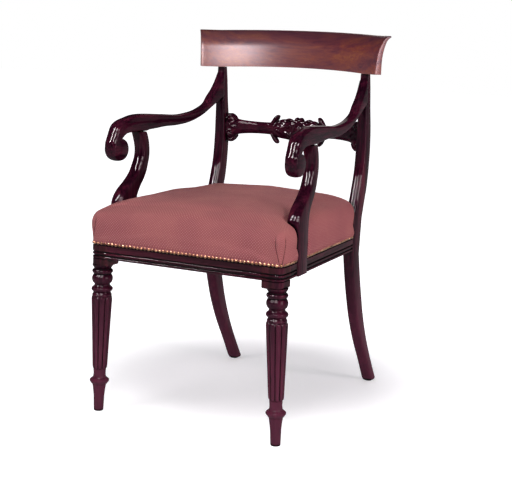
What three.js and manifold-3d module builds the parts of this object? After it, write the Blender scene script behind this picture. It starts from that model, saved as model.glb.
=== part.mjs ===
// A Regency armchair of the klismos family: sabre back legs, turned and reeded front legs, a curved
// tablet top rail, a carved mid rail, scroll arms and a stuffed-over seat with close nailing.
// Millimetres, +Z up, the front of the chair towards -Y. Left and right are as seen from the front.
// Inside this file Y is measured backwards from the front face of the seat rails.

import * as THREE from "three";
import { mergeVertices } from "three/addons/utils/BufferGeometryUtils.js";
import Module from "manifold-3d";

const wasm = await Module();
wasm.setup();

// Fits
const fitGap = 0.3;
const cutOverrun = 6;
const weldDistance = 0.0005;

// Seat frame
const seatRailBottom = 361;
const seatRailHeight = 69;
const seatRailThickness = 24;
const frameWidthFront = 482;
const frameWidthBack = 418;
const backLegFace = 444;
const backRailReach = 38;
const tenonLength = 18;
const tenonThickness = 10;
const tenonHeight = 45;

// Reeded lower edge of the rails: distances up from the bottom edge
const reedWidth = 6;
const reedGrooveWidth = 2.5;
const fasciaTop = 30;
const reedGrooveDepth = 3;
const coverRebate = 2.2;

// Front legs
const legBlock = 46;
const blockCornerRadius = 15;
const blockDrop = 17;
const blockEdge = 4;
const turningOffset = 4;
const turningRadius = 24.4;
const legSplay = 8;
const legReeds = 10;
const reedPoints = 3;
const legReedDepth = 3;
const turningRun = 3;

// Back legs and stiles
const backLegWidth = 26;
const backLegDepth = 43.5;
const backLegSweep = 155.5;
const stileTopWidth = 21;
const footChamfer = 6;
const heelChamfer = 9;
const legEdge = 4;
const stileTenonLength = 15;
const stileTenonWidth = 10;
const stileTenonThickness = 6;

// Top rail: how far it stands above the arms' underside, in front of the stiles and past them
const topRailAboveArms = 144.5;
const topRailSet = 5.8;
const topRailOverhang = 40;
const topRailHeight = 91;
const topRailThickness = 18;
const topRailRoll = 42;
const topRailArch = 4.5;
const backBowRadius = 400;

// Mid rail: how far it stands above the seat rails, and behind the stiles' front edges
const midRailAboveSeat = 166;
const midRailSet = 13;
const midRailHeight = 65;
const midRailThickness = 15;
const midTenonLength = 10;
const midTenonHeight = 24;
const midTenonThickness = 8;

// Arms and their supports
const armWidth = 31;
const armRearWidth = 22.5;
const armFront = 51.5;
const armSetIn = 13;
const armMeetShare = 1.125;
const scrollDrop = 37;
const scrollLift = 2;
const scrollRadius = 29.5;
const scrollEndRadius = 25;
const scrollTurn = 256;
const armAboveSeat = 207;
const armEdge = 5;
const supportFront = 79;
const supportDepth = 60;
const supportLap = 13;

// Seat upholstery
const webbingWidth = 48;
const webbingThickness = 1.6;
const hessianThickness = 1;
const coverThickness = 1.5;
const coverCrown = 98;
const edgeLift = 13.5;
const hemClearance = 0.4;
const stuffingEase = 0.8;
const dustCoverThickness = 1;
const dustCoverInset = 10;

// Nails and screws
const nailRadius = 4.4;
const nailHeight = 2.2;
const nailPitch = 9.5;
const nailRise = 5;
const screwRadius = 2;
const screwHeadRadius = 4.2;
const screwHeadHeight = 2.4;
const screwSides = 6;
const plugLength = 6;
const dowelRadius = 4;
const dowelLength = 28;

// Heights that follow from the sizes above
const railTop = seatRailBottom + seatRailHeight;
const armUnderside = railTop + armAboveSeat;
const scrollHeight = armUnderside - scrollDrop;
const topRailBottom = armUnderside + topRailAboveArms;
const midRailBottom = railTop + midRailAboveSeat;
const blockBottom = seatRailBottom - blockDrop;
const hemHeight = seatRailBottom + fasciaTop + fitGap;
const stileTop = topRailBottom - fitGap;
const halfFront = frameWidthFront / 2;
const halfBack = frameWidthBack / 2;
const backRailBack = backLegFace + backRailReach;
const backLegCentre = halfBack - backLegWidth / 2;
const backLegInner = halfBack - backLegWidth;
const sideTaper = (halfFront - halfBack) / (backLegFace - legBlock);
const armCentreFront = halfFront - armSetIn;
const armLength = backLegFace - armFront;
const armRise = stileTop - scrollHeight;
const armLean = (armCentreFront - backLegCentre) / (armLength * armMeetShare);

// Materials
const finish = (color, roughness, metalness) =>
  new THREE.MeshStandardMaterial({ color, roughness, metalness });
const mahogany = finish(0x4a1d20, 0.3, 0);
const figuredMahogany = finish(0x81412f, 0.3, 0);
const beech = finish(0xb98f62, 0.6, 0);
const rosePatternCloth = finish(0xb06c6c, 0.9, 0);
const jute = finish(0x9a8358, 0.9, 0);
const hessianCloth = finish(0xa8925f, 0.9, 0);
const horsehair = finish(0x54453a, 0.95, 0);
const blackCotton = finish(0x26231f, 0.95, 0);
const brass = finish(0xc49a52, 0.35, 1);
const steel = finish(0x8c8f92, 0.4, 1);

// The whole chair, moved at the end so that it stands over its own origin.
const chair = new THREE.Group();
const assembly = new THREE.Group();
chair.add(assembly);

function add(name, geometry, material) {
  const mesh = new THREE.Mesh(geometry, material);
  mesh.name = name;
  assembly.add(mesh);
  return mesh;
}

// Makes the right-hand piece and its mirror image on the left.
function addPair(name, geometry, material) {
  add(`${name}_right`, geometry, material);
  add(`${name}_left`, geometry, material).scale.x = -1;
}

// A closed geometry as a solid that can be cut and joined.
function solid(geometry) {
  const bare = geometry.index ? geometry.toNonIndexed() : geometry.clone();
  bare.deleteAttribute("normal");
  bare.deleteAttribute("uv");
  const merged = mergeVertices(bare, weldDistance);
  return new wasm.Manifold(
    new wasm.Mesh({
      numProp: 3,
      vertProperties: merged.attributes.position.array,
      triVerts: new Uint32Array(merged.index.array),
    }),
  );
}

function geometryOf(body) {
  const mesh = body.getMesh();
  const geometry = new THREE.BufferGeometry();
  geometry.setAttribute("position", new THREE.BufferAttribute(mesh.vertProperties, 3));
  geometry.setIndex(new THREE.BufferAttribute(mesh.triVerts, 1));
  geometry.computeVertexNormals();
  return geometry;
}

// Skins rings of points, each with as many points in the same order, into one closed body.
// The first and last ring are closed with the triangles of the flat outline given.
function loft(rings, capOutline) {
  const count = rings[0].length;
  const corners = rings.flat();
  const faces = [];
  for (let ring = 0; ring < rings.length - 1; ring++) {
    for (let point = 0; point < count; point++) {
      const next = (point + 1) % count;
      const a = ring * count + point;
      const b = ring * count + next;
      faces.push(a, b, b + count, a, b + count, a + count);
    }
  }
  const last = (rings.length - 1) * count;
  for (const [a, b, c] of THREE.ShapeUtils.triangulateShape(capOutline, [])) {
    faces.push(a, c, b);
    faces.push(last + a, last + b, last + c);
  }
  const geometry = new THREE.BufferGeometry();
  geometry.setAttribute(
    "position",
    new THREE.BufferAttribute(new Float32Array(corners.flatMap((p) => [p.x, p.y, p.z])), 3),
  );
  geometry.setIndex(faces);
  return geometry;
}

// A box between two corners.
function boxBetween(x0, x1, y0, y1, z0, z1) {
  const geometry = new THREE.BoxGeometry(x1 - x0, y1 - y0, z1 - z0);
  geometry.translate((x0 + x1) / 2, (y0 + y1) / 2, (z0 + z1) / 2);
  return geometry;
}

// An upright prism over a plan outline given as [x, y] points, anticlockwise.
function prism(plan, bottom, top) {
  const outline = plan.map(([x, y]) => new THREE.Vector2(x, y));
  const ring = (z) => plan.map(([x, y]) => new THREE.Vector3(x, y, z));
  return loft([ring(bottom), ring(top)], outline);
}

// Moves every point of a geometry with a function of its place.
function reshape(geometry, move) {
  const places = geometry.attributes.position;
  const point = new THREE.Vector3();
  for (let i = 0; i < places.count; i++) {
    point.fromBufferAttribute(places, i);
    move(point);
    places.setXYZ(i, point.x, point.y, point.z);
  }
  return geometry;
}

// A board sawn to a side outline of Vector2(y, z) points, its edges rounded, centred on x = 0.
function sawnBoard(outline, width, edge) {
  const geometry = new THREE.ExtrudeGeometry(new THREE.Shape(outline), {
    depth: width - 2 * edge,
    bevelEnabled: edge > 0,
    bevelThickness: edge,
    bevelSize: edge,
    bevelOffset: -edge,
    bevelSegments: 2,
    steps: 1,
  });
  geometry.translate(0, 0, edge - width / 2);
  return reshape(geometry, (p) => p.set(p.z, p.x, p.y));
}

// Points along a smooth curve through rows of [y, z].
function smooth(rows, count) {
  const curve = new THREE.SplineCurve(rows.map(([y, z]) => new THREE.Vector2(y, z)));
  return curve.getPoints(count);
}

// Seat frame plan

// Outer face of the side rails at a distance back from the front of the frame.
function sideFace(y) {
  return halfFront - sideTaper * Math.max(y - legBlock, 0);
}

const frontEdgeShares = [0, 0.3, 0.6, 0.85];
const sideEdgeShares = [0, 0.17, 0.34, 0.51, 0.68, 0.84, 1];
const backEdgeShares = [0.7, 0.35];
const cornerSteps = 4;

// Outline of the seat frame seen from above, moved in by an inset, anticlockwise.
function framePlan(inset) {
  const radius = blockCornerRadius - inset;
  const cornerX = halfFront - inset - radius;
  const half = frontEdgeShares.map((share) => [cornerX * share, inset]);
  for (let step = 0; step <= cornerSteps; step++) {
    const angle = (step / cornerSteps - 1) * (Math.PI / 2);
    half.push([cornerX + radius * Math.cos(angle), inset + radius + radius * Math.sin(angle)]);
  }
  for (const share of sideEdgeShares) {
    const y = legBlock + (backRailBack - legBlock) * share;
    half.push([sideFace(y) - inset, Math.min(y, backRailBack - inset)]);
  }
  const backHalf = sideFace(backRailBack) - inset;
  for (const share of backEdgeShares) half.push([backHalf * share, backRailBack - inset]);
  const mirrored = half.slice(1).reverse();
  return [...half, [0, backRailBack - inset], ...mirrored.map(([x, y]) => [-x, y])];
}

// Moulded profile of a seat rail

// Rows of [inset from the face, height above the rail's bottom edge], from the bottom up.
const reedCrown = reedGrooveDepth / 3;
const mouldingRows = [];
for (const reed of [0, 1]) {
  const start = reed * (reedWidth + reedGrooveWidth);
  mouldingRows.push([reedCrown, start]);
  mouldingRows.push([0, start + reedWidth / 4]);
  mouldingRows.push([0, start + (reedWidth * 3) / 4]);
  mouldingRows.push([reedCrown, start + reedWidth]);
  mouldingRows.push([reedGrooveDepth, start + reedWidth]);
  mouldingRows.push([reedGrooveDepth, start + reedWidth + reedGrooveWidth]);
}
mouldingRows.push([0, 2 * (reedWidth + reedGrooveWidth)]);
mouldingRows.push([0, fasciaTop]);
mouldingRows.push([coverRebate, fasciaTop]);
mouldingRows.push([coverRebate, seatRailHeight]);

const plainRows = [
  [0, 0],
  [0, fasciaTop],
  [coverRebate, fasciaTop],
  [coverRebate, seatRailHeight],
];

// Closed section of a rail as [inset, height] rows: up its outer face and down its inner face.
function railSection(faceRows) {
  const section = [...faceRows, [seatRailThickness, seatRailHeight], [seatRailThickness, 0]];
  return section.map(([inset, z]) => new THREE.Vector2(inset, seatRailBottom + z)).reverse();
}

const tenonBottom = seatRailBottom + (seatRailHeight - tenonHeight) / 2;
const tenonTop = tenonBottom + tenonHeight;
const tenonInset = (seatRailThickness - tenonThickness) / 2;
const backRailFront = backRailBack - seatRailThickness;

// Solids that the mortises follow, widened by a clearance where they cut.
function frontTenon(grow) {
  const inner = halfFront - legBlock;
  return boxBetween(
    inner - cutOverrun,
    inner + tenonLength + grow,
    tenonInset - grow,
    tenonInset + tenonThickness + grow,
    tenonBottom - grow,
    tenonTop + grow,
  );
}

function sideFrontTenon(grow) {
  return boxBetween(
    halfFront - tenonInset - tenonThickness - grow,
    halfFront - tenonInset + grow,
    legBlock - tenonLength - grow,
    legBlock + cutOverrun,
    tenonBottom - grow,
    tenonTop + grow,
  );
}

function sideBackTenon(grow) {
  const outer = halfBack - tenonInset;
  return boxBetween(
    outer - tenonThickness - grow,
    outer + grow,
    backLegFace - cutOverrun,
    backLegFace + tenonLength + grow,
    tenonBottom - grow,
    tenonTop + grow,
  );
}

function backTenon(grow) {
  return boxBetween(
    backLegInner - cutOverrun,
    backLegInner + tenonLength + grow,
    backRailBack - tenonInset - tenonThickness - grow,
    backRailBack - tenonInset + grow,
    tenonBottom - grow,
    tenonTop + grow,
  );
}

const mirrorX = (body) => body.mirror([1, 0, 0]);

// Screws and dowels

// A wood screw along +X from its head's top face at the origin, or the hole that takes it.
function screwAlongX(length, grow) {
  const profile = [
    [0, 0],
    [screwHeadRadius + grow, 0],
    [screwRadius + grow, screwHeadHeight + grow],
    [screwRadius + grow, length - screwHeadHeight + grow],
    [0, length + grow],
  ];
  const turned = new THREE.LatheGeometry(
    profile.map(([radius, along]) => new THREE.Vector2(radius, along)),
    screwSides,
  );
  return turned.rotateZ(-Math.PI / 2);
}

// The same screw placed by its head and pointed along a direction.
function screwAt(head, direction, length, grow) {
  const turn = new THREE.Quaternion().setFromUnitVectors(new THREE.Vector3(1, 0, 0), direction);
  const geometry = screwAlongX(length, grow).applyQuaternion(turn);
  return geometry.translate(head.x, head.y, head.z);
}

// A plain round bar from a point along a direction.
function barAt(start, direction, radius, length) {
  const bar = new THREE.CylinderGeometry(radius, radius, length, screwSides);
  bar.translate(0, length / 2, 0);
  const turn = new THREE.Quaternion().setFromUnitVectors(new THREE.Vector3(0, 1, 0), direction);
  return bar.applyQuaternion(turn).translate(start.x, start.y, start.z);
}

const towardsX = new THREE.Vector3(1, 0, 0);
const towardsFront = new THREE.Vector3(0, -1, 0);
const towardsBack = new THREE.Vector3(0, 1, 0);
const upwards = new THREE.Vector3(0, 0, 1);

// Corner blocks: right-hand front and back, each with two screws
const cornerBlockHeight = 44;
const cornerBlockRise = 8;
const cornerBlockReach = 56;
const blockScrewLength = 30;
const blockScrewDepth = 11;
const blockScrewSpacing = 28;
const cornerBlockBottom = seatRailBottom + cornerBlockRise;
const cornerBlockTop = cornerBlockBottom + cornerBlockHeight;
const screwLevel = cornerBlockBottom + cornerBlockHeight / 2;

const sideInner = (y) => sideFace(y) - seatRailThickness;

const legInnerFront = halfFront - legBlock;
const frontRailInner = seatRailThickness + fitGap;
const frontCornerPlan = [
  [legInnerFront - cornerBlockReach, frontRailInner],
  [legInnerFront - fitGap, frontRailInner],
  [legInnerFront - fitGap, legBlock + fitGap],
  [sideInner(legBlock) - fitGap, legBlock + fitGap],
  [sideInner(legBlock + cornerBlockReach) - fitGap, legBlock + cornerBlockReach],
];
const backCornerPlan = [
  [sideInner(backLegFace - cornerBlockReach) - fitGap, backLegFace - cornerBlockReach],
  [sideInner(backLegFace) - fitGap, backLegFace - fitGap],
  [backLegInner - fitGap, backLegFace - fitGap],
  [backLegInner - fitGap, backRailFront - fitGap],
  [backLegInner - cornerBlockReach, backRailFront - fitGap],
];

// Each screw is given by where its tip's rail face is, and how far into the rail it goes.
const frontBlockScrewX = legInnerFront - blockScrewSpacing;
const frontBlockScrewY = legBlock + blockScrewSpacing;
const backBlockScrewX = backLegInner - blockScrewSpacing;
const backBlockScrewY = backLegFace - blockScrewSpacing;
const blockScrews = {
  front: [
    { face: [frontBlockScrewX, seatRailThickness], direction: towardsFront },
    { face: [sideInner(frontBlockScrewY), frontBlockScrewY], direction: towardsX },
  ],
  back: [
    { face: [backBlockScrewX, backRailFront], direction: towardsBack },
    { face: [sideInner(backBlockScrewY), backBlockScrewY], direction: towardsX },
  ],
};

function blockScrewHead({ face, direction }) {
  const tip = new THREE.Vector3(face[0], face[1], screwLevel);
  return tip.addScaledVector(direction, blockScrewDepth - blockScrewLength);
}

const blockScrew = (place, grow) =>
  screwAt(blockScrewHead(place), place.direction, blockScrewLength, grow);

// The counterbore behind a block screw's head.
function blockCounterbore(place) {
  const head = blockScrewHead(place);
  const back = place.direction.clone().negate();
  return barAt(head, back, screwHeadRadius + fitGap, cornerBlockReach);
}

const cornerPlans = { front: frontCornerPlan, back: backCornerPlan };
for (const end of ["front", "back"]) {
  let block = solid(prism(cornerPlans[end], cornerBlockBottom, cornerBlockTop));
  for (const place of blockScrews[end]) {
    block = block.subtract(solid(blockScrew(place, fitGap)));
    block = block.subtract(solid(blockCounterbore(place)));
  }
  addPair(`corner_block_${end}`, geometryOf(block), beech);
  const railNames = end === "front" ? ["front_rail", "side_rail"] : ["back_rail", "side_rail"];
  blockScrews[end].forEach((place, index) => {
    addPair(`${end}_block_screw_${railNames[index]}`, blockScrew(place, 0), steel);
  });
}

// Arm supports

// Rows of [height share, front share, depth share], from the rail's bottom edge to the arm.
const supportShares = [
  [0, 0.04, 0.95],
  [0.192, 0.02, 0.965],
  [0.33, 0.01, 0.965],
  [0.381, -0.025, 1.01],
  [0.424, -0.033, 1.033],
  [0.479, 0.075, 1],
  [0.54, 0.325, 0.917],
  [0.597, 0.69, 0.76],
  [0.662, 1.01, 0.617],
  [0.725, 1.19, 0.533],
  [0.787, 1.325, 0.475],
  [0.852, 1.36, 0.45],
  [0.918, 1.29, 0.475],
  [0.976, 1.19, 0.483],
  [1, 1.13, 0.483],
];
const supportBottom = seatRailBottom;
const supportTop = armUnderside - fitGap;
const supportHeight = supportTop - supportBottom;

// The outline runs past both ends, to be cut off square.
function supportOutline(grow) {
  const front = [];
  const back = [];
  for (const [height, frontShare, depthShare] of supportShares) {
    const z = supportBottom + supportHeight * height;
    const y = supportFront + supportDepth * frontShare;
    front.push([y - grow, z]);
    back.push([y + supportDepth * depthShare + grow, z]);
  }
  const count = supportShares.length + 5;
  const frontCurve = smooth(front, count);
  const backCurve = smooth(back, count);
  const past = (curve, end, z) => new THREE.Vector2(curve.at(end).x, z);
  return [
    past(backCurve, 0, supportBottom - cutOverrun * 2),
    ...backCurve,
    past(backCurve, -1, supportTop + cutOverrun * 2),
    past(frontCurve, -1, supportTop + cutOverrun * 2),
    ...frontCurve.reverse(),
    past(frontCurve, -1, supportBottom - cutOverrun * 2),
  ];
}

// Arms and supports lean inwards together, and narrow towards the back.
function armPlace(point) {
  const back = (point.y - armFront) / (armLength * armMeetShare);
  const width = THREE.MathUtils.lerp(armWidth, armRearWidth, THREE.MathUtils.clamp(back, 0, 1));
  point.x = point.x * (width / armWidth) + armCentre(point.y);
}

const armCentre = (y) => armCentreFront - armLean * (y - armFront);

function supportBody(grow) {
  const board = sawnBoard(supportOutline(grow), armWidth + 2 * grow, armEdge);
  const level = boxBetween(
    0,
    frameWidthFront,
    0,
    frameWidthFront,
    supportBottom - grow,
    supportTop + grow,
  );
  return solid(reshape(board, armPlace)).intersect(solid(level));
}

// The lap: below the rail's top only the outer part of the support is left.
function supportLapPlan(grow) {
  const front = supportFront - cutOverrun * 2;
  const back = supportFront + supportDepth + cutOverrun * 2;
  const lapFace = (y) => armCentre(y) + armWidth / 2 - supportLap - grow;
  return [
    [lapFace(front), front],
    [lapFace(back), back],
    [lapFace(back) - armWidth, back],
    [lapFace(front) - armWidth, front],
  ];
}

const lapCutter = (grow) =>
  solid(prism(supportLapPlan(grow), supportBottom - cutOverrun, railTop + fitGap - grow));

// What the rail is housed for: the lapped foot of the support with a clearance round it.
const supportHousing = supportBody(fitGap).subtract(lapCutter(fitGap));

const supportScrewLength = 24;
const supportScrewDepth = 10;
const supportScrewShares = [0.32, 0.72];
const supportScrewY = supportFront + supportDepth / 2;

function supportScrew(share, grow) {
  const lapFaceX = armCentre(supportScrewY) + armWidth / 2 - supportLap;
  const tipX = lapFaceX + supportScrewDepth;
  const level = supportBottom + seatRailHeight * share;
  const head = new THREE.Vector3(tipX - supportScrewLength, supportScrewY, level);
  return screwAt(head, towardsX, supportScrewLength, grow);
}

const dowelShare = 1.45;
const dowelY = supportFront + supportDepth * dowelShare;
const dowelPlace = new THREE.Vector3(
  armCentre(dowelY),
  dowelY,
  armUnderside - dowelLength / 2,
);

const armDowel = (grow) =>
  barAt(
    dowelPlace.clone().addScaledVector(upwards, -grow),
    upwards,
    dowelRadius + grow,
    dowelLength + 2 * grow,
  );

let support = supportBody(0).subtract(lapCutter(0));
support = support.subtract(solid(armDowel(fitGap)));
for (const share of supportScrewShares) {
  support = support.subtract(solid(supportScrew(share, fitGap)));
}
addPair("arm_support", geometryOf(support), mahogany);
addPair("arm_dowel", armDowel(0), beech);
addPair("arm_support_screw_lower", supportScrew(supportScrewShares[0], 0), steel);
addPair("arm_support_screw_upper", supportScrew(supportScrewShares[1], 0), steel);

// Back legs

// Rows of [height share, sweep share, depth share]: from the floor to the seat rails, then from
// the top of the rails to the top of the stile.
const sabreShares = [
  [0, 1.013, 0.74],
  [0.167, 0.775, 0.69],
  [0.333, 0.524, 0.8],
  [0.498, 0.325, 0.9],
  [0.664, 0.183, 0.966],
  [0.831, 0.07, 1],
  [0.97, 0, 1],
];
const stileShares = [
  [0.017, 0, 1.17],
  [0.141, 0.135, 0.98],
  [0.221, 0.2, 0.95],
  [0.342, 0.277, 0.839],
  [0.484, 0.315, 0.793],
  [0.626, 0.3215, 0.759],
  [0.769, 0.3215, 0.632],
  [0.884, 0.334, 0.517],
  [1, 0.347, 0.356],
];

function legRow([height, sweep, depth], bottom, top, grow) {
  const z = bottom + (top - bottom) * height;
  const face = backLegFace + backLegSweep * sweep;
  return { front: [face - grow, z], back: [face + backLegDepth * depth + grow, z] };
}

function backLegOutline(grow) {
  const sabre = sabreShares.map((row) => legRow(row, 0, seatRailBottom, grow));
  const stile = stileShares.map((row) => legRow(row, railTop, stileTop, grow));
  const front = [
    ...smooth(sabre.map((row) => row.front), sabre.length + 2),
    ...smooth(stile.map((row) => row.front), stile.length + 2),
  ];
  const back = [
    ...smooth(sabre.map((row) => row.back), sabre.length + 2),
    ...smooth(stile.map((row) => row.back), stile.length + 2),
  ];
  const toe = front.shift();
  const heel = back.shift();
  front.push(new THREE.Vector2(front.at(-1).x, stileTop + cutOverrun * 2));
  back.push(new THREE.Vector2(back.at(-1).x, stileTop + cutOverrun * 2));
  const footRows = [
    new THREE.Vector2(toe.x - footChamfer / 2, toe.y + footChamfer),
    new THREE.Vector2(toe.x + footChamfer / 2, toe.y),
    new THREE.Vector2(heel.x - heelChamfer, heel.y),
    new THREE.Vector2(heel.x - heelChamfer / 3, heel.y + heelChamfer),
  ];
  return [...front.reverse(), ...footRows, ...back];
}

// The stile narrows above the arm.
const taperStart = railTop + (stileTop - railTop) * stileShares[4][0];

function legPlace(point) {
  const share = THREE.MathUtils.clamp((point.z - taperStart) / (stileTop - taperStart), 0, 1);
  const width = THREE.MathUtils.lerp(backLegWidth, stileTopWidth, share);
  point.x = point.x * (width / backLegWidth) + backLegCentre;
}

function backLegBody(grow) {
  const board = sawnBoard(backLegOutline(grow), backLegWidth + 2 * grow, legEdge);
  const reach = backLegFace + backLegSweep + backLegDepth;
  const level = boxBetween(0, frameWidthFront, 0, reach + cutOverrun, -cutOverrun, stileTop + grow);
  return solid(reshape(board, legPlace)).intersect(solid(level));
}

// Everything level with the stile, from its inner face out past the arm and the seat.
function stileShadowBody() {
  const width = halfFront - backLegInner + armWidth;
  const board = sawnBoard(backLegOutline(fitGap), width, 0);
  return solid(board.translate(backLegInner + width / 2 - fitGap, 0, 0));
}

const stileShadow = stileShadowBody();

// The face of the stile where it meets the underside of the top rail.
const stileTopFace = backLegFace + backLegSweep * stileShares.at(-1)[1];
const stileTopDepth = backLegDepth * stileShares.at(-1)[2];

function stileTenon(grow) {
  const middle = stileTopFace + stileTopDepth / 2 - stileTenonThickness / 2;
  return boxBetween(
    backLegCentre - stileTenonWidth / 2 - grow,
    backLegCentre + stileTenonWidth / 2 + grow,
    middle - stileTenonThickness / 2 - grow,
    middle + stileTenonThickness / 2 + grow,
    stileTop - cutOverrun,
    stileTop + stileTenonLength + grow,
  );
}

const bowAt = (radius, x) => Math.sqrt(radius * radius - x * x);

// Both rails of the back are bowed in plan, and meet the stiles a set distance from their faces.
const midRailFaceShare = 0.319;
const midRailFace = backLegFace + backLegSweep * midRailFaceShare + midRailSet;
const midRailCentreY = midRailFace - bowAt(backBowRadius, backLegInner);
const midRailBackRadius = backBowRadius + midRailThickness;

function midTenon(grow) {
  const middle =
    midRailCentreY +
    (bowAt(backBowRadius, backLegInner) + bowAt(midRailBackRadius, backLegInner)) / 2;
  const level = midRailBottom + midRailHeight / 2;
  return boxBetween(
    backLegInner - cutOverrun,
    backLegInner + midTenonLength + grow,
    middle - midTenonThickness / 2 - grow,
    middle + midTenonThickness / 2 + grow,
    level - midTenonHeight / 2 - grow,
    level + midTenonHeight / 2 + grow,
  );
}

// The arm screw runs forwards through the stile, its head under a plug.
const armScrewLength = 38;
const armScrewShare = 0.845;
const armScrewSweepShare = 0.33;
const armScrewDepthShare = 0.555;
const armScrewHeight = railTop + (stileTop - railTop) * armScrewShare;
const armScrewHeadDepth = 8;
const armScrewBack =
  backLegFace + backLegSweep * armScrewSweepShare + backLegDepth * armScrewDepthShare;

function armScrew(grow) {
  const head = new THREE.Vector3(backLegCentre, armScrewBack - armScrewHeadDepth, armScrewHeight);
  return screwAt(head, towardsFront, armScrewLength, grow);
}

function plugBar(grow) {
  const start = new THREE.Vector3(
    backLegCentre,
    armScrewBack - armScrewHeadDepth + fitGap - grow,
    armScrewHeight,
  );
  return barAt(start, towardsBack, screwHeadRadius + fitGap + grow, plugLength + cutOverrun);
}

const wholeBackLeg = backLegBody(0);
let backLeg = wholeBackLeg.add(solid(stileTenon(0)));
for (const cut of [sideBackTenon(fitGap), backTenon(fitGap), midTenon(fitGap)]) {
  backLeg = backLeg.subtract(solid(cut));
}
backLeg = backLeg.subtract(solid(armScrew(fitGap))).subtract(solid(plugBar(fitGap)));
addPair("back_leg", geometryOf(backLeg), mahogany);
addPair("arm_screw", armScrew(0), steel);
addPair("arm_screw_plug", geometryOf(solid(plugBar(0)).intersect(wholeBackLeg)), mahogany);

// Arms

// Rows of [length share, rise share] along the top of the arm, from the stile to the scroll.
const armTopShares = [
  [1.19, 1.165],
  [1.146, 0.993],
  [1.124, 0.9],
  [1.093, 0.8],
  [1.052, 0.695],
  [1.004, 0.602],
  [0.96, 0.508],
  [0.859, 0.433],
  [0.759, 0.4],
  [0.642, 0.386],
  [0.489, 0.406],
  [0.311, 0.428],
  [0.222, 0.425],
  [0.153, 0.397],
  [0.094, 0.364],
  [0.051, 0.304],
  [0.023, 0.188],
  [0.004, 0.099],
];

// Rows along the underside: behind the scroll, then from the support back into the stile.
const armNotchShares = [
  [0.104, 0.166],
  [0.125, 0.188],
  [0.16, 0.199],
];
const armRearShares = [
  [0.345, 0.215],
  [0.428, 0.226],
  [0.522, 0.24],
  [0.642, 0.243],
  [0.769, 0.27],
  [0.889, 0.337],
  [0.973, 0.414],
  [1.06, 0.502],
  [1.118, 0.563],
  [1.16, 0.61],
];

const armPoint = ([length, rise]) => [armFront + armLength * length, scrollHeight + armRise * rise];

const scrollSteps = 10;

function scrollPoints() {
  const centreY = armFront + scrollRadius;
  const points = [];
  for (let step = 0; step <= scrollSteps; step++) {
    const turn = step / scrollSteps;
    const angle = Math.PI + THREE.MathUtils.degToRad(scrollTurn) * turn;
    const radius = THREE.MathUtils.lerp(scrollRadius, scrollEndRadius, turn);
    const y = centreY + radius * Math.cos(angle);
    points.push(new THREE.Vector2(y, scrollHeight + scrollLift + radius * Math.sin(angle)));
  }
  return points;
}

// Where the flat seat on the support starts and ends, as shares of the support's depth.
const armSeatShares = [1, 1.68];

function armOutline() {
  const [seatFront, seatBack] = armSeatShares.map((share) => supportFront + supportDepth * share);
  return [
    ...smooth(armTopShares.map(armPoint), armTopShares.length + 4),
    ...scrollPoints(),
    ...armNotchShares.map(armPoint).map(([y, z]) => new THREE.Vector2(y, z)),
    new THREE.Vector2(seatFront, armUnderside),
    new THREE.Vector2(seatBack, armUnderside),
    ...smooth(armRearShares.map(armPoint), armRearShares.length + 2),
    new THREE.Vector2(stileTopFace + backLegDepth, stileTop + armWidth),
  ];
}

let arm = solid(reshape(sawnBoard(armOutline(), armWidth, armEdge), armPlace));
for (const step of [0, 1, 2]) {
  arm = arm.subtract(stileShadow.translate([0, stileTopDepth * step, 0]));
}
arm = arm.subtract(
  solid(
    boxBetween(0, frameWidthFront, stileTopFace - armLength, stileTopFace * 2, stileTop, stileTop * 2),
  ),
);
arm = arm.subtract(solid(armDowel(fitGap))).subtract(solid(armScrew(fitGap)));
const armParts = arm.decompose().sort((a, b) => b.volume() - a.volume());
addPair("arm", geometryOf(armParts[0]), mahogany);

// Front legs

// Rows of [height share, radius share] of the turning, from the floor to the block.
const turningShares = [
  [0, 0.39],
  [0.005, 0.455],
  [0.061, 0.484],
  [0.11, 0.516],
  [0.159, 0.59],
  [0.188, 0.656],
  [0.2, 0.81],
  [0.212, 0.914],
  [0.222, 0.84],
  [0.232, 0.7],
  [0.246, 0.582],
  [0.288, 0.58],
];
const reededShares = [
  [0.298, 0.67],
  [0.3067, 0.721],
  [0.786, 1],
];
const beadShares = [
  [0.806, 0.94],
  [0.82, 0.807],
  [0.838, 0.992],
  [0.858, 0.79],
  [0.871, 0.725],
  [0.893, 0.92],
  [0.909, 0.967],
  [0.924, 0.93],
  [0.94, 0.791],
  [0.958, 0.967],
  [0.973, 0.779],
  [0.993, 0.93],
];
const legAxisX = halfFront - legBlock / 2 + turningOffset;
const legAxisY = legBlock / 2;
const turningSides = legReeds * reedPoints;

function turningRing([height, radius], depth) {
  const ring = [];
  for (let side = 0; side < turningSides; side++) {
    const angle = (side / turningSides) * 2 * Math.PI;
    const inGroove = side % reedPoints === 0;
    const reach = turningRadius * radius - (inGroove ? depth : 0);
    const z = blockBottom * height;
    const lean = legSplay * (1 - height);
    ring.push(
      new THREE.Vector3(
        legAxisX + lean + reach * Math.cos(angle),
        legAxisY + reach * Math.sin(angle),
        z,
      ),
    );
  }
  return ring;
}

function turning() {
  const rings = [
    ...turningShares.map((row) => turningRing(row, 0)),
    ...reededShares.map((row) => turningRing(row, legReedDepth)),
    ...beadShares.map((row) => turningRing(row, 0)),
    turningRing([1 + turningRun / blockBottom, beadShares.at(-1)[1]], 0),
  ];
  return loft(rings, rings[0].map((p) => new THREE.Vector2(p.x, p.y)));
}

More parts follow.
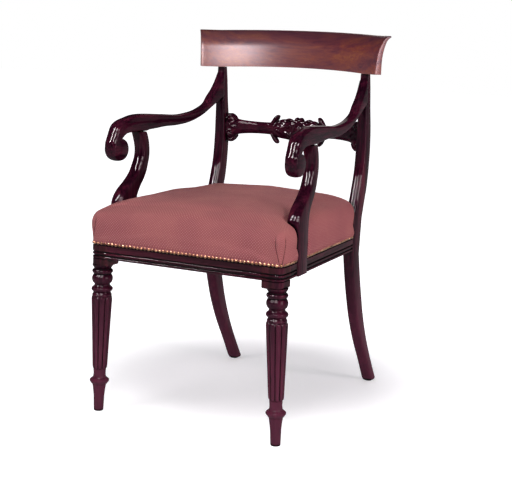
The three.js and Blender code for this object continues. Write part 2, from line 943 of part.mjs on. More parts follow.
// Plan of the square block, moved in by one inset on its two show faces and another on the rest.
function blockPlan(showInset, backInset) {
  const radius = blockCornerRadius - showInset;
  const outer = halfFront - showInset;
  const plan = [[legInnerFront + backInset, showInset]];
  for (let step = 0; step <= cornerSteps; step++) {
    const angle = (step / cornerSteps - 1) * (Math.PI / 2);
    plan.push([
      outer - radius + radius * Math.cos(angle),
      showInset + radius + radius * Math.sin(angle),
    ]);
  }
  plan.push([outer, legBlock - backInset]);
  plan.push([legInnerFront + backInset, legBlock - backInset]);
  return plan;
}

function legBlockBody() {
  const ring = (showInset, backInset, z) =>
    blockPlan(showInset, backInset).map(([x, y]) => new THREE.Vector3(x, y, z));
  const rings = [
    ring(blockEdge, blockEdge, blockBottom),
    ring(reedCrown, 0, blockBottom + blockEdge),
    ring(reedCrown, 0, seatRailBottom),
    ...mouldingRows.slice(1).map(([inset, z]) => ring(inset, 0, seatRailBottom + z)),
  ];
  return loft(rings, blockPlan(0, 0).map(([x, y]) => new THREE.Vector2(x, y)));
}

let frontLeg = solid(legBlockBody()).add(solid(turning()));
for (const cut of [frontTenon(fitGap), sideFrontTenon(fitGap)]) {
  frontLeg = frontLeg.subtract(solid(cut));
}
addPair("front_leg", geometryOf(frontLeg), mahogany);

// Seat rails

function frontRail() {
  const section = railSection(mouldingRows);
  const end = legInnerFront - fitGap;
  const ring = (x) => section.map((p) => new THREE.Vector3(x, p.x, p.y));
  let rail = solid(loft([ring(-end), ring(end)], section));
  for (const tenon of [solid(frontTenon(0)), mirrorX(solid(frontTenon(0)))]) rail = rail.add(tenon);
  const hole = solid(blockScrew(blockScrews.front[0], fitGap));
  return rail.subtract(hole).subtract(mirrorX(hole));
}

function backRail() {
  const section = railSection(plainRows);
  const end = backLegInner - fitGap;
  const ring = (x) => section.map((p) => new THREE.Vector3(x, backRailBack - p.x, p.y));
  let rail = solid(loft([ring(end), ring(-end)], section));
  for (const tenon of [solid(backTenon(0)), mirrorX(solid(backTenon(0)))]) rail = rail.add(tenon);
  const hole = solid(blockScrew(blockScrews.back[0], fitGap));
  return rail.subtract(hole).subtract(mirrorX(hole));
}

function sideRail() {
  const section = railSection(mouldingRows);
  const ring = (y) => section.map((p) => new THREE.Vector3(sideFace(y) - p.x, y, p.y));
  let rail = solid(loft([ring(legBlock + fitGap), ring(backLegFace - fitGap)], section));
  rail = rail.add(solid(sideFrontTenon(0))).add(solid(sideBackTenon(0)));
  rail = rail.subtract(supportHousing);
  for (const place of [blockScrews.front[1], blockScrews.back[1]]) {
    rail = rail.subtract(solid(blockScrew(place, fitGap)));
  }
  for (const share of supportScrewShares) {
    rail = rail.subtract(solid(supportScrew(share, fitGap)));
  }
  return rail;
}

add("front_rail", geometryOf(frontRail()), mahogany);
add("back_rail", geometryOf(backRail()), mahogany);
addPair("side_rail", geometryOf(sideRail()), mahogany);

// Top rail: one section swept along a bow, its ends cut square to the bow

// Rows of [roll share, height share] up the front face, then down the back.
const topRailFrontShares = [
  [0, 0],
  [0.05, 0.2],
  [0.11, 0.38],
  [0.19, 0.58],
  [0.35, 0.75],
  [0.58, 0.92],
  [0.76, 0.985],
  [0.94, 1],
];
const topRailBackShares = [
  [1, 0.975],
  [0.88, 0.935],
  [0.72, 0.85],
  [0.57, 0.67],
  [0.48, 0.49],
  [0.43, 0.27],
];
const bowSteps = 16;
const topRailCentreY = stileTopFace - topRailSet - bowAt(backBowRadius, backLegCentre);
const topRailHalfWidth = backLegCentre + topRailOverhang;
const topRailAngle = Math.asin(topRailHalfWidth / backBowRadius);

// The rail arches up a little between the stiles.
function archAt(x) {
  return topRailArch * Math.max(1 - (x / backLegCentre) ** 2, 0);
}

function topRail() {
  const outline = [...topRailFrontShares, ...topRailBackShares].map(
    ([roll, height]) =>
      new THREE.Vector2(topRailRoll * roll, topRailBottom + topRailHeight * height),
  );
  outline.push(new THREE.Vector2(topRailThickness, topRailBottom));
  outline.reverse();
  const rings = [];
  for (let step = 0; step <= bowSteps; step++) {
    const angle = topRailAngle * (2 * (step / bowSteps) - 1);
    rings.push(
      outline.map((p) => {
        const radius = backBowRadius + p.x;
        return new THREE.Vector3(
          radius * Math.sin(angle),
          topRailCentreY + radius * Math.cos(angle),
          p.y + archAt(backBowRadius * Math.sin(angle)),
        );
      }),
    );
  }
  const mortise = solid(stileTenon(fitGap));
  return solid(loft(rings, outline)).subtract(mortise).subtract(mirrorX(mortise));
}

add("top_rail", geometryOf(topRail()), figuredMahogany);

// Mid rail: its height changes along the bow, with leaf curls and end scrolls

// Rows of [half length share, top share, bottom share], from the middle to the stile.
const midRailShares = [
  [0, 0.96, 0.05],
  [0.05, 0.94, 0.06],
  [0.08, 0.85, 0.08],
  [0.14, 0.9, 0.11],
  [0.2, 0.92, 0.13],
  [0.28, 0.87, 0.17],
  [0.325, 0.84, 0.19],
  [0.34, 1, 0.03],
  [0.4, 0.99, 0.01],
  [0.44, 0.92, 0.08],
  [0.47, 0.77, 0.28],
  [0.6, 0.77, 0.3],
  [0.75, 0.8, 0.28],
  [0.87, 0.88, 0.24],
  [0.9, 1, 0.1],
  [0.95, 1.05, 0.05],
  [1, 1.05, 0.05],
];

function midRail() {
  const end = backLegInner - fitGap;
  const crown = midRailThickness / 4;
  const shoulder = midRailThickness - crown * 2;
  const section = (bottom, top) => {
    const middle = (bottom + top) / 2;
    const half = (top - middle) / 2;
    return [
      [crown, bottom],
      [shoulder, bottom],
      [midRailThickness, bottom + crown],
      [midRailThickness, top - crown],
      [shoulder, top],
      [crown, top],
      [0, middle + half],
      [0, middle - half],
    ];
  };
  const flat = section(0, midRailHeight).map(([x, z]) => new THREE.Vector2(x, z));
  const half = midRailShares.map(([length, top, bottom]) => ({
    x: end * length,
    rows: section(midRailBottom + midRailHeight * bottom, midRailBottom + midRailHeight * top),
  }));
  const mirrored = half.slice(1).reverse().map(({ x, rows }) => ({ x: -x, rows }));
  const rings = [...mirrored, ...half].map(({ x, rows }) =>
    rows.map(
      ([inset, z]) =>
        new THREE.Vector3(x, midRailCentreY + bowAt(backBowRadius + inset, x), z),
    ),
  );
  const body = solid(loft(rings, flat));
  return body.add(solid(midTenon(0))).add(mirrorX(solid(midTenon(0))));
}

add("mid_rail", geometryOf(midRail()), mahogany);

// Webbing: flat strips woven over and under one another, their ends down on the rails

const lengthwiseShares = [-1, -0.3375, 0.3375, 1];
const webbingLegGap = 3;
const crosswiseFirst = 50;
const crosswiseLegGap = 52;
const crosswiseCount = 4;
const webbingTurnIn = 5;
const weaveLift = (webbingThickness + fitGap) / 2;
const weaveLevel = railTop + fitGap + webbingThickness / 2 + weaveLift;
const endLevel = railTop + fitGap + webbingThickness / 2;
const lengthwiseReach = backLegInner - webbingWidth / 2 - webbingLegGap;
const lengthwiseX = lengthwiseShares.map((share) => share * lengthwiseReach);
const crosswisePitch = (backLegFace - crosswiseLegGap - crosswiseFirst) / (crosswiseCount - 1);
const crosswiseY = Array.from({ length: crosswiseCount }, (_, i) => crosswiseFirst + crosswisePitch * i);

// A strip through rows of [distance along, height of its middle], placed by a function.
function webbingStrip(rows, place) {
  const half = webbingThickness / 2;
  const section = [
    [-webbingWidth / 2, -half],
    [webbingWidth / 2, -half],
    [webbingWidth / 2, half],
    [-webbingWidth / 2, half],
  ];
  const rings = rows.map(([along, level]) =>
    section.map(([across, up]) => place(along, across, level + up)),
  );
  return loft(rings, section.map(([x, y]) => new THREE.Vector2(x, y)));
}

// Rows of a strip that crosses others at the places given, over the first if lift is 1.
function weaveRows(start, end, crossings, lift) {
  const clear = webbingWidth / 2 + webbingTurnIn;
  const rows = [[start, endLevel]];
  crossings.forEach((place, index) => {
    const level = weaveLevel + weaveLift * lift * (index % 2 === 0 ? 1 : -1);
    rows.push([Math.max(place - clear, start + webbingTurnIn), level]);
    rows.push([Math.min(place + clear, end - webbingTurnIn), level]);
  });
  rows.push([end, endLevel]);
  return rows;
}

lengthwiseX.forEach((x, index) => {
  const lift = index % 2 === 0 ? 1 : -1;
  const rows = weaveRows(webbingTurnIn, backRailBack - webbingTurnIn, crosswiseY, lift);
  const strip = webbingStrip(rows, (along, across, z) => new THREE.Vector3(x - across, along, z));
  add(`webbing_lengthwise_${index + 1}`, strip, jute);
});

crosswiseY.forEach((y, index) => {
  const lift = index % 2 === 0 ? -1 : 1;
  const reach = sideFace(y + webbingWidth / 2) - webbingTurnIn;
  const rows = weaveRows(-reach, reach, lengthwiseX, lift);
  const strip = webbingStrip(rows, (along, across, z) => new THREE.Vector3(along, y + across, z));
  add(`webbing_crosswise_${index + 1}`, strip, jute);
});

// Base cloth, stuffing and cover, cut round the stiles and the arm supports

const seatCutters = [backLegBody(fitGap), supportBody(fitGap)].flatMap((body) => [
  body,
  mirrorX(body),
]);
const cutSeat = (body) => seatCutters.reduce((left, cutter) => left.subtract(cutter), body);
const largest = (body) => body.decompose().sort((a, b) => b.volume() - a.volume())[0];

const hessianBottom = weaveLevel + weaveLift + webbingThickness / 2 + fitGap;
const hessianTop = hessianBottom + hessianThickness;
const hessianInset = coverRebate * 2;
const hessian = prism(framePlan(hessianInset), hessianBottom, hessianTop);
add("hessian", geometryOf(largest(cutSeat(solid(hessian)))), hessianCloth);

const seatMiddle = backRailBack / 2;

// One level of the seat: the frame's plan, scaled about the middle of the seat. Above the
// shoulder the edges rise between the corners.
function seatRing(inset, scale, height, drop) {
  const z = hemHeight + coverCrown * height - drop;
  const lift = edgeLift * THREE.MathUtils.smoothstep(height, liftStartShare, liftFullShare);
  return framePlan(inset).map(([planX, planY]) => {
    const x = planX * scale;
    const y = seatMiddle + (planY - seatMiddle) * scale;
    const corner = Math.abs((x / sideFace(y)) * ((y - seatMiddle) / seatMiddle));
    return new THREE.Vector3(x, y, z + lift * (1 - Math.min(corner, 1)));
  });
}

// Rows of [scale of the plan, height share], from the hem up to the crown.
const coverShares = [
  [1, 0],
  [1, 0.14],
  [1.007, 0.36],
  [1.01, 0.5],
  [1.004, 0.62],
  [0.985, 0.72],
  [0.94, 0.8],
  [0.86, 0.87],
  [0.7, 0.945],
  [0.45, 0.99],
  [0.2, 1],
];
const liftStartShare = 0.4;
const liftFullShare = 0.8;

function coverRings(inset, drop) {
  return coverShares.map(([scale, height], index) =>
    seatRing(inset, scale, height, index === 0 ? 0 : drop),
  );
}

const seatOutline = framePlan(0).map(([x, y]) => new THREE.Vector2(x, y));
const coverInner = coverRings(hemClearance + coverThickness, coverThickness).reverse();
const cover = loft([...coverInner, ...coverRings(hemClearance, 0)], seatOutline);
// Behind the stile's front edge the cloth is turned in, so none of it shows outside the stile.
const coverShell = cutSeat(solid(cover)).subtract(stileShadow).subtract(mirrorX(stileShadow));
add("seat_cover", geometryOf(largest(coverShell)), rosePatternCloth);

// The stuffing fills the cover from the base cloth up.
const firstRowShare = 0.04;
const stuffingBottom = hessianTop + fitGap;
const stuffingInset = hemClearance + coverThickness + stuffingEase;
const stuffingBottomShare = (stuffingBottom - hemHeight) / coverCrown;
const stuffingRows = coverShares.filter(
  ([, height], index) => index % 2 === 0 && height > stuffingBottomShare + firstRowShare,
);
const stuffing = loft(
  [
    seatRing(stuffingInset, 1, stuffingBottomShare, 0),
    ...stuffingRows.map(([scale, height]) =>
      seatRing(stuffingInset, scale, height, coverThickness + stuffingEase),
    ),
  ],
  seatOutline,
);
add("seat_stuffing", geometryOf(largest(cutSeat(solid(stuffing)))), horsehair);

// The cloth under the frame, cut round the legs.
const dustCoverTop = seatRailBottom - fitGap;
const legClearance = dustCoverInset / 5;
const legCutters = [
  solid(
    boxBetween(
      legInnerFront - legClearance,
      frameWidthFront,
      -cutOverrun,
      legBlock + legClearance,
      blockBottom,
      railTop,
    ),
  ),
  solid(
    boxBetween(
      backLegInner - legClearance,
      frameWidthFront,
      backLegFace - legClearance,
      backRailBack + backLegDepth,
      blockBottom,
      railTop,
    ),
  ),
].flatMap((body) => [body, mirrorX(body)]);
let dustCover = solid(
  prism(framePlan(dustCoverInset), dustCoverTop - dustCoverThickness, dustCoverTop),
);
for (const cutter of legCutters) dustCover = dustCover.subtract(cutter);
add("dust_cover", geometryOf(dustCover), blackCotton);

// Nail rows: six-sided heads set edge to edge along the hem of the cover

const nailLevel = hemHeight + nailRise;
const headEdgeShare = 0.5;
const neckShare = 0.3;

// Place and outward direction at a distance along a plan path.
function alongPath(path, distance) {
  let left = distance;
  for (let i = 1; i < path.length; i++) {
    const [x0, y0] = path[i - 1];
    const [x1, y1] = path[i];
    const run = Math.hypot(x1 - x0, y1 - y0);
    if (left <= run || i === path.length - 1) {
      const share = left / run;
      return {
        place: new THREE.Vector3(x0 + (x1 - x0) * share, y0 + (y1 - y0) * share, nailLevel),
        outward: new THREE.Vector3((y1 - y0) / run, (x0 - x1) / run, 0),
      };
    }
    left -= run;
  }
  return null;
}

function pathLength(path) {
  const runs = path.slice(1).map(([x, y], i) => Math.hypot(x - path[i][0], y - path[i][1]));
  return runs.reduce((sum, run) => sum + run, 0);
}

// One section across the row: a whole head, or the narrow neck where two heads meet.
function nailRing(path, distance, size) {
  const { place, outward } = alongPath(path, distance);
  const half = nailRadius * size;
  const front = half * headEdgeShare;
  const reach = nailHeight * size;
  const corners = [
    [reach, -front],
    [0, -half],
    [0, half],
    [reach, front],
  ];
  return corners.map(([out, up]) => {
    const corner = place.clone().addScaledVector(outward, out);
    corner.z += up;
    return corner;
  });
}

function nailRow(path) {
  const length = pathLength(path);
  const count = Math.floor(length / nailPitch);
  const start = (length - count * nailPitch) / 2;
  const rings = [nailRing(path, start, neckShare)];
  for (let i = 0; i < count; i++) {
    rings.push(nailRing(path, start + nailPitch * (i + headEdgeShare / 2), 1));
    rings.push(nailRing(path, start + nailPitch * (i + 1 - headEdgeShare / 2), 1));
    rings.push(nailRing(path, start + nailPitch * (i + 1), neckShare));
  }
  const outline = [
    new THREE.Vector2(0, -headEdgeShare),
    new THREE.Vector2(1, -1),
    new THREE.Vector2(1, 1),
    new THREE.Vector2(0, headEdgeShare),
  ];
  return loft(rings, outline);
}

// The heads stand a clearance off the cloth, from corner to corner and stile to stile.
const nailEndGap = 1;
const nailInset = hemClearance - fitGap;
const onSide = (y) => [sideFace(y) - nailInset, y];

function frontNailPath() {
  const radius = blockCornerRadius - nailInset;
  const cornerX = halfFront - nailInset - radius;
  const half = [[0, nailInset]];
  for (let step = 0; step <= cornerSteps * 2; step++) {
    const angle = (step / (cornerSteps * 2) - 1) * (Math.PI / 2);
    half.push([
      cornerX + radius * Math.cos(angle),
      nailInset + radius + radius * Math.sin(angle),
    ]);
  }
  half.push(onSide(legBlock), onSide(supportFront - nailEndGap));
  return [...half.slice(1).reverse().map(([x, y]) => [-x, y]), ...half];
}

const sideNailPath = [
  onSide(supportFront + supportDepth + nailEndGap),
  onSide(backLegFace - nailEndGap),
];
const backNailPath = [
  [backLegInner - nailEndGap, backRailBack - nailInset],
  [nailEndGap - backLegInner, backRailBack - nailInset],
];

add("nail_row_front", nailRow(frontNailPath()), brass);
addPair("nail_row", nailRow(sideNailPath), brass);
add("nail_row_back", nailRow(backNailPath), brass);

// Stand the chair over its own origin.
const bounds = new THREE.Box3().setFromObject(chair);
assembly.position.y = -(bounds.min.y + bounds.max.y) / 2;

export default chair;
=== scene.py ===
# %% [markdown]
# # A Regency armchair of the klismos family
# The chair is mahogany, French polished, with a stuffed seat nailed over its rails. The solids
# that carry the construction are loaded as a fixed frame. This lesson makes the surface that the
# eye sees: turned and reeded legs, sawn and rounded boards, a carved rail, cloth over stuffing.

# %% Load the frame
import math
import random

import bmesh
import bpy
from mathutils import Matrix, Vector
from mathutils.bvhtree import BVHTree

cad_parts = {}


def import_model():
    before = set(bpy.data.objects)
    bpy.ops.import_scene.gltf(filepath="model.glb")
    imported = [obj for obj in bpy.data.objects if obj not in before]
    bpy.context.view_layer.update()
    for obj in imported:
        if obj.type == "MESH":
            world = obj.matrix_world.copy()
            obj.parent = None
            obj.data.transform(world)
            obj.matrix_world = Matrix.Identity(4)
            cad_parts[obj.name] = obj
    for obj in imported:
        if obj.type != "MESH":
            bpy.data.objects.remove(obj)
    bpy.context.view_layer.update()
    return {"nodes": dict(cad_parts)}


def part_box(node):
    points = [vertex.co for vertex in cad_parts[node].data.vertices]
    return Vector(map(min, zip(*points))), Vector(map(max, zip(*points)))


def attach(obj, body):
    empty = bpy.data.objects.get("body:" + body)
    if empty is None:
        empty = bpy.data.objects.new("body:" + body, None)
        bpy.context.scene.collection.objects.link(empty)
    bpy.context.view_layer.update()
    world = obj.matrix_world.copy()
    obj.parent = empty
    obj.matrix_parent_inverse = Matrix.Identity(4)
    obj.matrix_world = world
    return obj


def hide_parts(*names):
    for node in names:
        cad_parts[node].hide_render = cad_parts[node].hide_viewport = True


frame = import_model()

# %% [markdown]
# Furniture is drawn in millimetres and Blender works in metres, so every size below is a number
# of millimetres and is turned to metres when a mesh is made. Distances back are counted from the
# front face of the seat frame, as a chair maker counts them, and that face is read from the frame.

# %% Units and places
mm = 0.001
front_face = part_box("front_rail")[0].y / mm


def world(x, back, z):
    """A place in metres from millimetres: across, back from the front of the seat frame, up."""
    return Vector((x * mm, (back + front_face) * mm, z * mm))


rail_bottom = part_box("front_rail")[0].z / mm
rail_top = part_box("front_rail")[1].z / mm
fit_gap = 0.3
leg_block = 46
half_front = 241
print("seat frame", round(2 * half_front, 1), "mm wide in front, rails from",
      round(rail_bottom, 1), "to", round(rail_top, 1), "mm above the floor")

# %% [markdown]
# The photograph was taken from the chair's left front, a little above seat height, with a long
# lens, and the picture leans slightly. The camera could be placed by eye. Here its angles were
# solved from the mirror symmetry of the chair, so left and right pieces line up together.

# %% Camera
camera_azimuth = math.radians(27.63)
camera_elevation = math.radians(9.87)
camera_roll = math.radians(1.79)
camera_scale = 1.0136
aim = Vector((0, 0.0292, 0.365 * camera_scale))
camera_distance = 3.033 * camera_scale
camera_lens = 90


def make_camera():
    flat = math.cos(camera_elevation)
    back = Vector((
        math.sin(camera_azimuth) * flat,
        -math.cos(camera_azimuth) * flat,
        math.sin(camera_elevation),
    ))
    right = Vector((math.cos(camera_azimuth), math.sin(camera_azimuth), 0))
    up = back.cross(right)
    rolled_right = right * math.cos(camera_roll) + up * math.sin(camera_roll)
    rolled_up = up * math.cos(camera_roll) - right * math.sin(camera_roll)
    data = bpy.data.cameras.new("camera")
    data.lens = camera_lens
    data.sensor_width = 36
    camera = bpy.data.objects.new("camera", data)
    bpy.context.collection.objects.link(camera)
    turn = Matrix((rolled_right, rolled_up, back)).transposed().to_4x4()
    camera.matrix_world = Matrix.Translation(aim + back * camera_distance) @ turn
    bpy.context.scene.camera = camera


make_camera()
print("camera stands", round(camera_distance, 2), "m from the middle of the chair")

# %% [markdown]
# A material is a small graph. One helper adds a node with its settings and its links, and one
# function turns the sRGB hex values that a painter would pick into the linear values of a shader.

# %% Colour and node helpers


def linear(code):
    """Linear RGBA from an sRGB hex value such as 'a8686a'."""
    channels = [int(code[i:i + 2], 16) / 255 for i in (0, 2, 4)]
    bent = [c / 12.92 if c <= 0.04045 else ((c + 0.055) / 1.055) ** 2.4 for c in channels]
    return (*bent, 1)


def node(tree, kind, links=None, **settings):
    """Adds a node. links maps an input's name or number to a value or to another node's socket."""
    made = tree.nodes.new(kind)
    for key, value in settings.items():
        setattr(made, key, value)
    for key, value in (links or {}).items():
        if isinstance(value, bpy.types.NodeSocket):
            tree.links.new(value, made.inputs[key])
        else:
            made.inputs[key].default_value = value
    return made


def ramp(tree, factor, stops):
    """A colour ramp through (position, hex) stops."""
    made = node(tree, "ShaderNodeValToRGB", {0: factor})
    elements = made.color_ramp.elements
    while len(elements) < len(stops):
        elements.new(0.5)
    for element, (position, code) in zip(elements, stops):
        element.position = position
        element.color = linear(code)
    return made.outputs[0]


def new_material(name):
    material = bpy.data.materials.new(name)
    material.use_nodes = True
    tree = material.node_tree
    tree.nodes.clear()
    return material, tree


def finish_material(tree, surface):
    node(tree, "ShaderNodeOutputMaterial", {0: surface.outputs[0]})


print("helpers for colours and nodes are ready")

# %% [markdown]
# The studio is a wide sheet of white paper in a white room. Camera, polish and clear material see
# both nearly white, while the lamps' shading of the paper stays, so the chair keeps its shadow.
# The paper glows least under the chair and more further out, so that no edge shows far behind it.
# The weaker glow under the chair paints a pool of shade there.
# The same lamps could light the cloth and shine in the polish. But a lamp that shines in the
# polish as it does on the real chair would burn out the cloth, so the two are split. Broad soft
# lamps at a plain level light cloth and wood. Tall, high and wide ones are seen in the polish
# only: two tall narrow ones at the left front, as the double highlights on the scrolls show, and a
# wide one at the right front, whose reflection fills the left half of the top rail. Weaker lamps
# fill from the side, from above and from behind.

# %% Floor, backdrop and light
paper_white = "ffffff"
paper_glow = 0.34
paper_far_glow = 1
paper_shade = "dfdfe8"
# The glow is least round a point behind the chair's middle and a little to its left, which paints
# shade under the chair. These are the way from there to the middle, and how far the least glow
# and the shade reach, in metres.
least_glow_shift = (0.07, -0.165, 0)
least_glow_radius = 0.22
full_glow_radius = 0.6
paper_reach = 14
lamp_aim = Vector((0, 0, 0.45))


def seen_directly(tree):
    """1 for what camera, reflection or clear material sees, and 0 for light on a surface."""
    path = node(tree, "ShaderNodeLightPath")
    seen = node(tree, "ShaderNodeMath", {0: path.outputs["Is Camera Ray"],
                                         1: path.outputs["Is Glossy Ray"]}, operation="MAXIMUM")
    return node(tree, "ShaderNodeMath", {0: seen.outputs[0],
                                         1: path.outputs["Is Transmission Ray"]},
                operation="MAXIMUM").outputs[0]


def paper_material():
    material, tree = new_material("matt_white_paper")
    place = node(tree, "ShaderNodeTexCoord").outputs["Object"]
    behind = node(tree, "ShaderNodeMapping", {0: place, "Location": least_glow_shift})
    away = node(tree, "ShaderNodeVectorMath", {0: behind.outputs[0]}, operation="LENGTH")
    level = node(tree, "ShaderNodeMapRange", {
        0: away.outputs["Value"], 1: least_glow_radius, 2: full_glow_radius,
        3: paper_glow, 4: paper_far_glow}, interpolation_type="SMOOTHSTEP")
    glow = node(tree, "ShaderNodeMath", {0: seen_directly(tree), 1: level.outputs[0]},
                operation="MULTIPLY")
    matt = node(tree, "ShaderNodeBsdfDiffuse", {"Color": linear(paper_shade)})
    light = node(tree, "ShaderNodeEmission", {"Color": linear(paper_white),
                                              "Strength": glow.outputs[0]})
    both = node(tree, "ShaderNodeAddShader", {0: matt.outputs[0], 1: light.outputs[0]})
    finish_material(tree, both)
    return material


def make_paper():
    """A wide flat sheet of paper on the floor, seen from any side."""
    data = bpy.data.meshes.new("paper_floor")
    reach = paper_reach
    corners = [(-reach, -reach, 0), (reach, -reach, 0), (reach, reach, 0), (-reach, reach, 0)]
    data.from_pydata(corners, [], [(0, 1, 2, 3)])
    floor = bpy.data.objects.new("paper_floor", data)
    bpy.context.collection.objects.link(floor)
    data.materials.append(paper_material())


def make_lamp(name, place, size, power, colour, lights="both"):
    """lights is cloth for a lamp not seen in the polish, polish for one seen only there."""
    data = bpy.data.lights.new(name, "AREA")
    data.shape = "RECTANGLE"
    data.size, data.size_y = size
    data.energy = power
    data.color = linear(colour)[:3]
    lamp = bpy.data.objects.new(name, data)
    bpy.context.collection.objects.link(lamp)
    lamp.location = place
    lamp.visible_glossy = lights != "cloth"
    lamp.visible_diffuse = lights != "polish"
    towards = lamp_aim - Vector(place)
    lamp.rotation_euler = towards.to_track_quat("-Z", "Y").to_euler()
    return lamp


def flagged_off(lamps, piece):
    """Keeps the lamps' light off one piece, as a black card beside each of them does."""
    shaded = bpy.data.collections.new(f"{piece.name}_flagged")
    shaded.objects.link(piece)
    shaded.collection_objects[0].light_linking.link_state = "EXCLUDE"
    for lamp in lamps:
        lamp.light_linking.receiver_collection = shaded


room_light = 0.24
ceiling_light = 0.09
# Upward share of a direction: up to the first the room is white, and from the second on dim.
eye_level = 0.04
overhead = 0.25


def make_world():
    """Evenly lit for cloth and wood, white at eye level where it is seen, and dim overhead."""
    studio = bpy.data.worlds.new("studio")
    bpy.context.scene.world = studio
    studio.use_nodes = True
    tree = studio.node_tree
    tree.nodes.clear()
    parts = node(tree, "ShaderNodeSeparateXYZ", {0: node(tree, "ShaderNodeTexCoord").outputs[0]})
    room = node(tree, "ShaderNodeMapRange", {
        0: parts.outputs["Z"], 1: eye_level, 2: overhead, 3: 1, 4: ceiling_light},
        interpolation_type="SMOOTHSTEP")
    strength = node(tree, "ShaderNodeMapRange", {0: seen_directly(tree), 3: room_light,
                                                 4: room.outputs[0]})
    sky = node(tree, "ShaderNodeBackground", {0: linear(paper_white), 1: strength.outputs[0]})
    node(tree, "ShaderNodeOutputWorld", {0: sky.outputs[0]})


make_paper()
make_world()
make_lamp("soft_lamp_left", (-1.3, -2.4, 2.3), (1.2, 1.2), 32, "fff8f2", "cloth")
make_lamp("soft_lamp_right", (1.0, -2.56, 1.7), (0.8, 0.7), 26, "fffaf6", "cloth")
make_lamp("soft_lamp_side", (2.8, -0.5, 1.4), (0.2, 1.6), 36, "fff0ee")
make_lamp("soft_lamp_above", (0.1, 0.1, 3.0), (1.4, 1.4), 3, "ffffff")
make_lamp("soft_lamp_behind", (-1.1, 2.7, 1.5), (0.5, 1.6), 7, "fff6f2")
tall_lamps = [
    make_lamp("tall_lamp_left", (-1.7, -2.15, 2.4), (0.1, 1.6), 240, "fff8fa", "polish"),
    make_lamp("tall_lamp_front", (-0.75, -2.6, 2.4), (0.08, 1.6), 170, "fff8fa", "polish"),
    make_lamp("high_lamp_right", (0.62, -2.05, 2.6), (0.9, 0.3), 75, "fff0f4", "polish")]
make_lamp("panel_lamp_right", (0.75, -2.6, 2.0), (1.4, 0.85), 180, "ffeef0", "polish")
make_lamp("panel_lamp_side", (2.7, -0.9, 1.1), (0.9, 1.4), 60, "ffdce6", "polish")
bpy.context.scene.view_settings.view_transform = "Standard"
print("stage: paper floor, white room and", len(bpy.data.lights), "soft lamps")

# %% [markdown]
# Old mahogany is a red-brown hardwood. Under French polish, which is shellac rubbed on in many
# thin coats, it turns nearly black in the shade and shines like glass on its edges. Its grain runs
# along each piece, so the same wood is made three times, with the grain along each direction. It
# could be one image stretched over all pieces. Noise stretched along the grain needs no mapping,
# and never repeats. On the dark wood only the thin coat of polish shines and not the wood under
# it, so it stays dark between its highlights. The broad face of the top rail has a softer shine.
# Long use shows too: edges are rubbed to a paler brown. Light and shade are painted into the
# colour as well: the wood is painted paler and purple towards the floor, as light from the floor,
# darker at the height of the top rail's lip, as shade, and dark in grooves and hollows, where
# shade falls.

# %% Mahogany
polish_ior = 1.5
streak_width = 5
streak_stretch = 14
figure_width = 26
figure_stretch = 11
# The pores of mahogany are 0.2 mm wide. They are drawn 0.7 mm wide, so that they can be seen.
pore_width = 0.7
pore_stretch = 16
# Painted shade: the wood is darkened where other wood stands within 8 mm, in grooves and hollows.
# Openness is 1 on open wood.
painted_shade_reach = 8
painted_shade_from, painted_shade_full = 0.97, 0.62
painted_shade_colour = "0a0206"
# Pointiness is 0.5 on flat wood and more on an edge.
rubbed_from, rubbed_full = 0.52, 0.62
rubbed_colour = "8a4a38"
# Heights in metres between which the wood is painted paler towards the floor, as light from the
# floor, and painted darker on the lip of the top rail, as shade.
painted_floor_light_from, painted_floor_light_full, painted_floor_light_share = 0.35, 0.14, 0.4
painted_floor_light_colour = "7a3c54"
painted_top_shade_from, painted_top_shade_full, painted_top_shade_share = 0.84, 0.87, 0.6
painted_top_shade_colour = "300c26"


def along_grain(tree, place, width, stretch, grain):
    """Coordinates in units of one streak: width across the grain, and stretch times that along."""
    scale = [1 / (width * mm)] * 3
    scale[grain] /= stretch
    return node(tree, "ShaderNodeMapping", {0: place, "Scale": scale}).outputs[0]


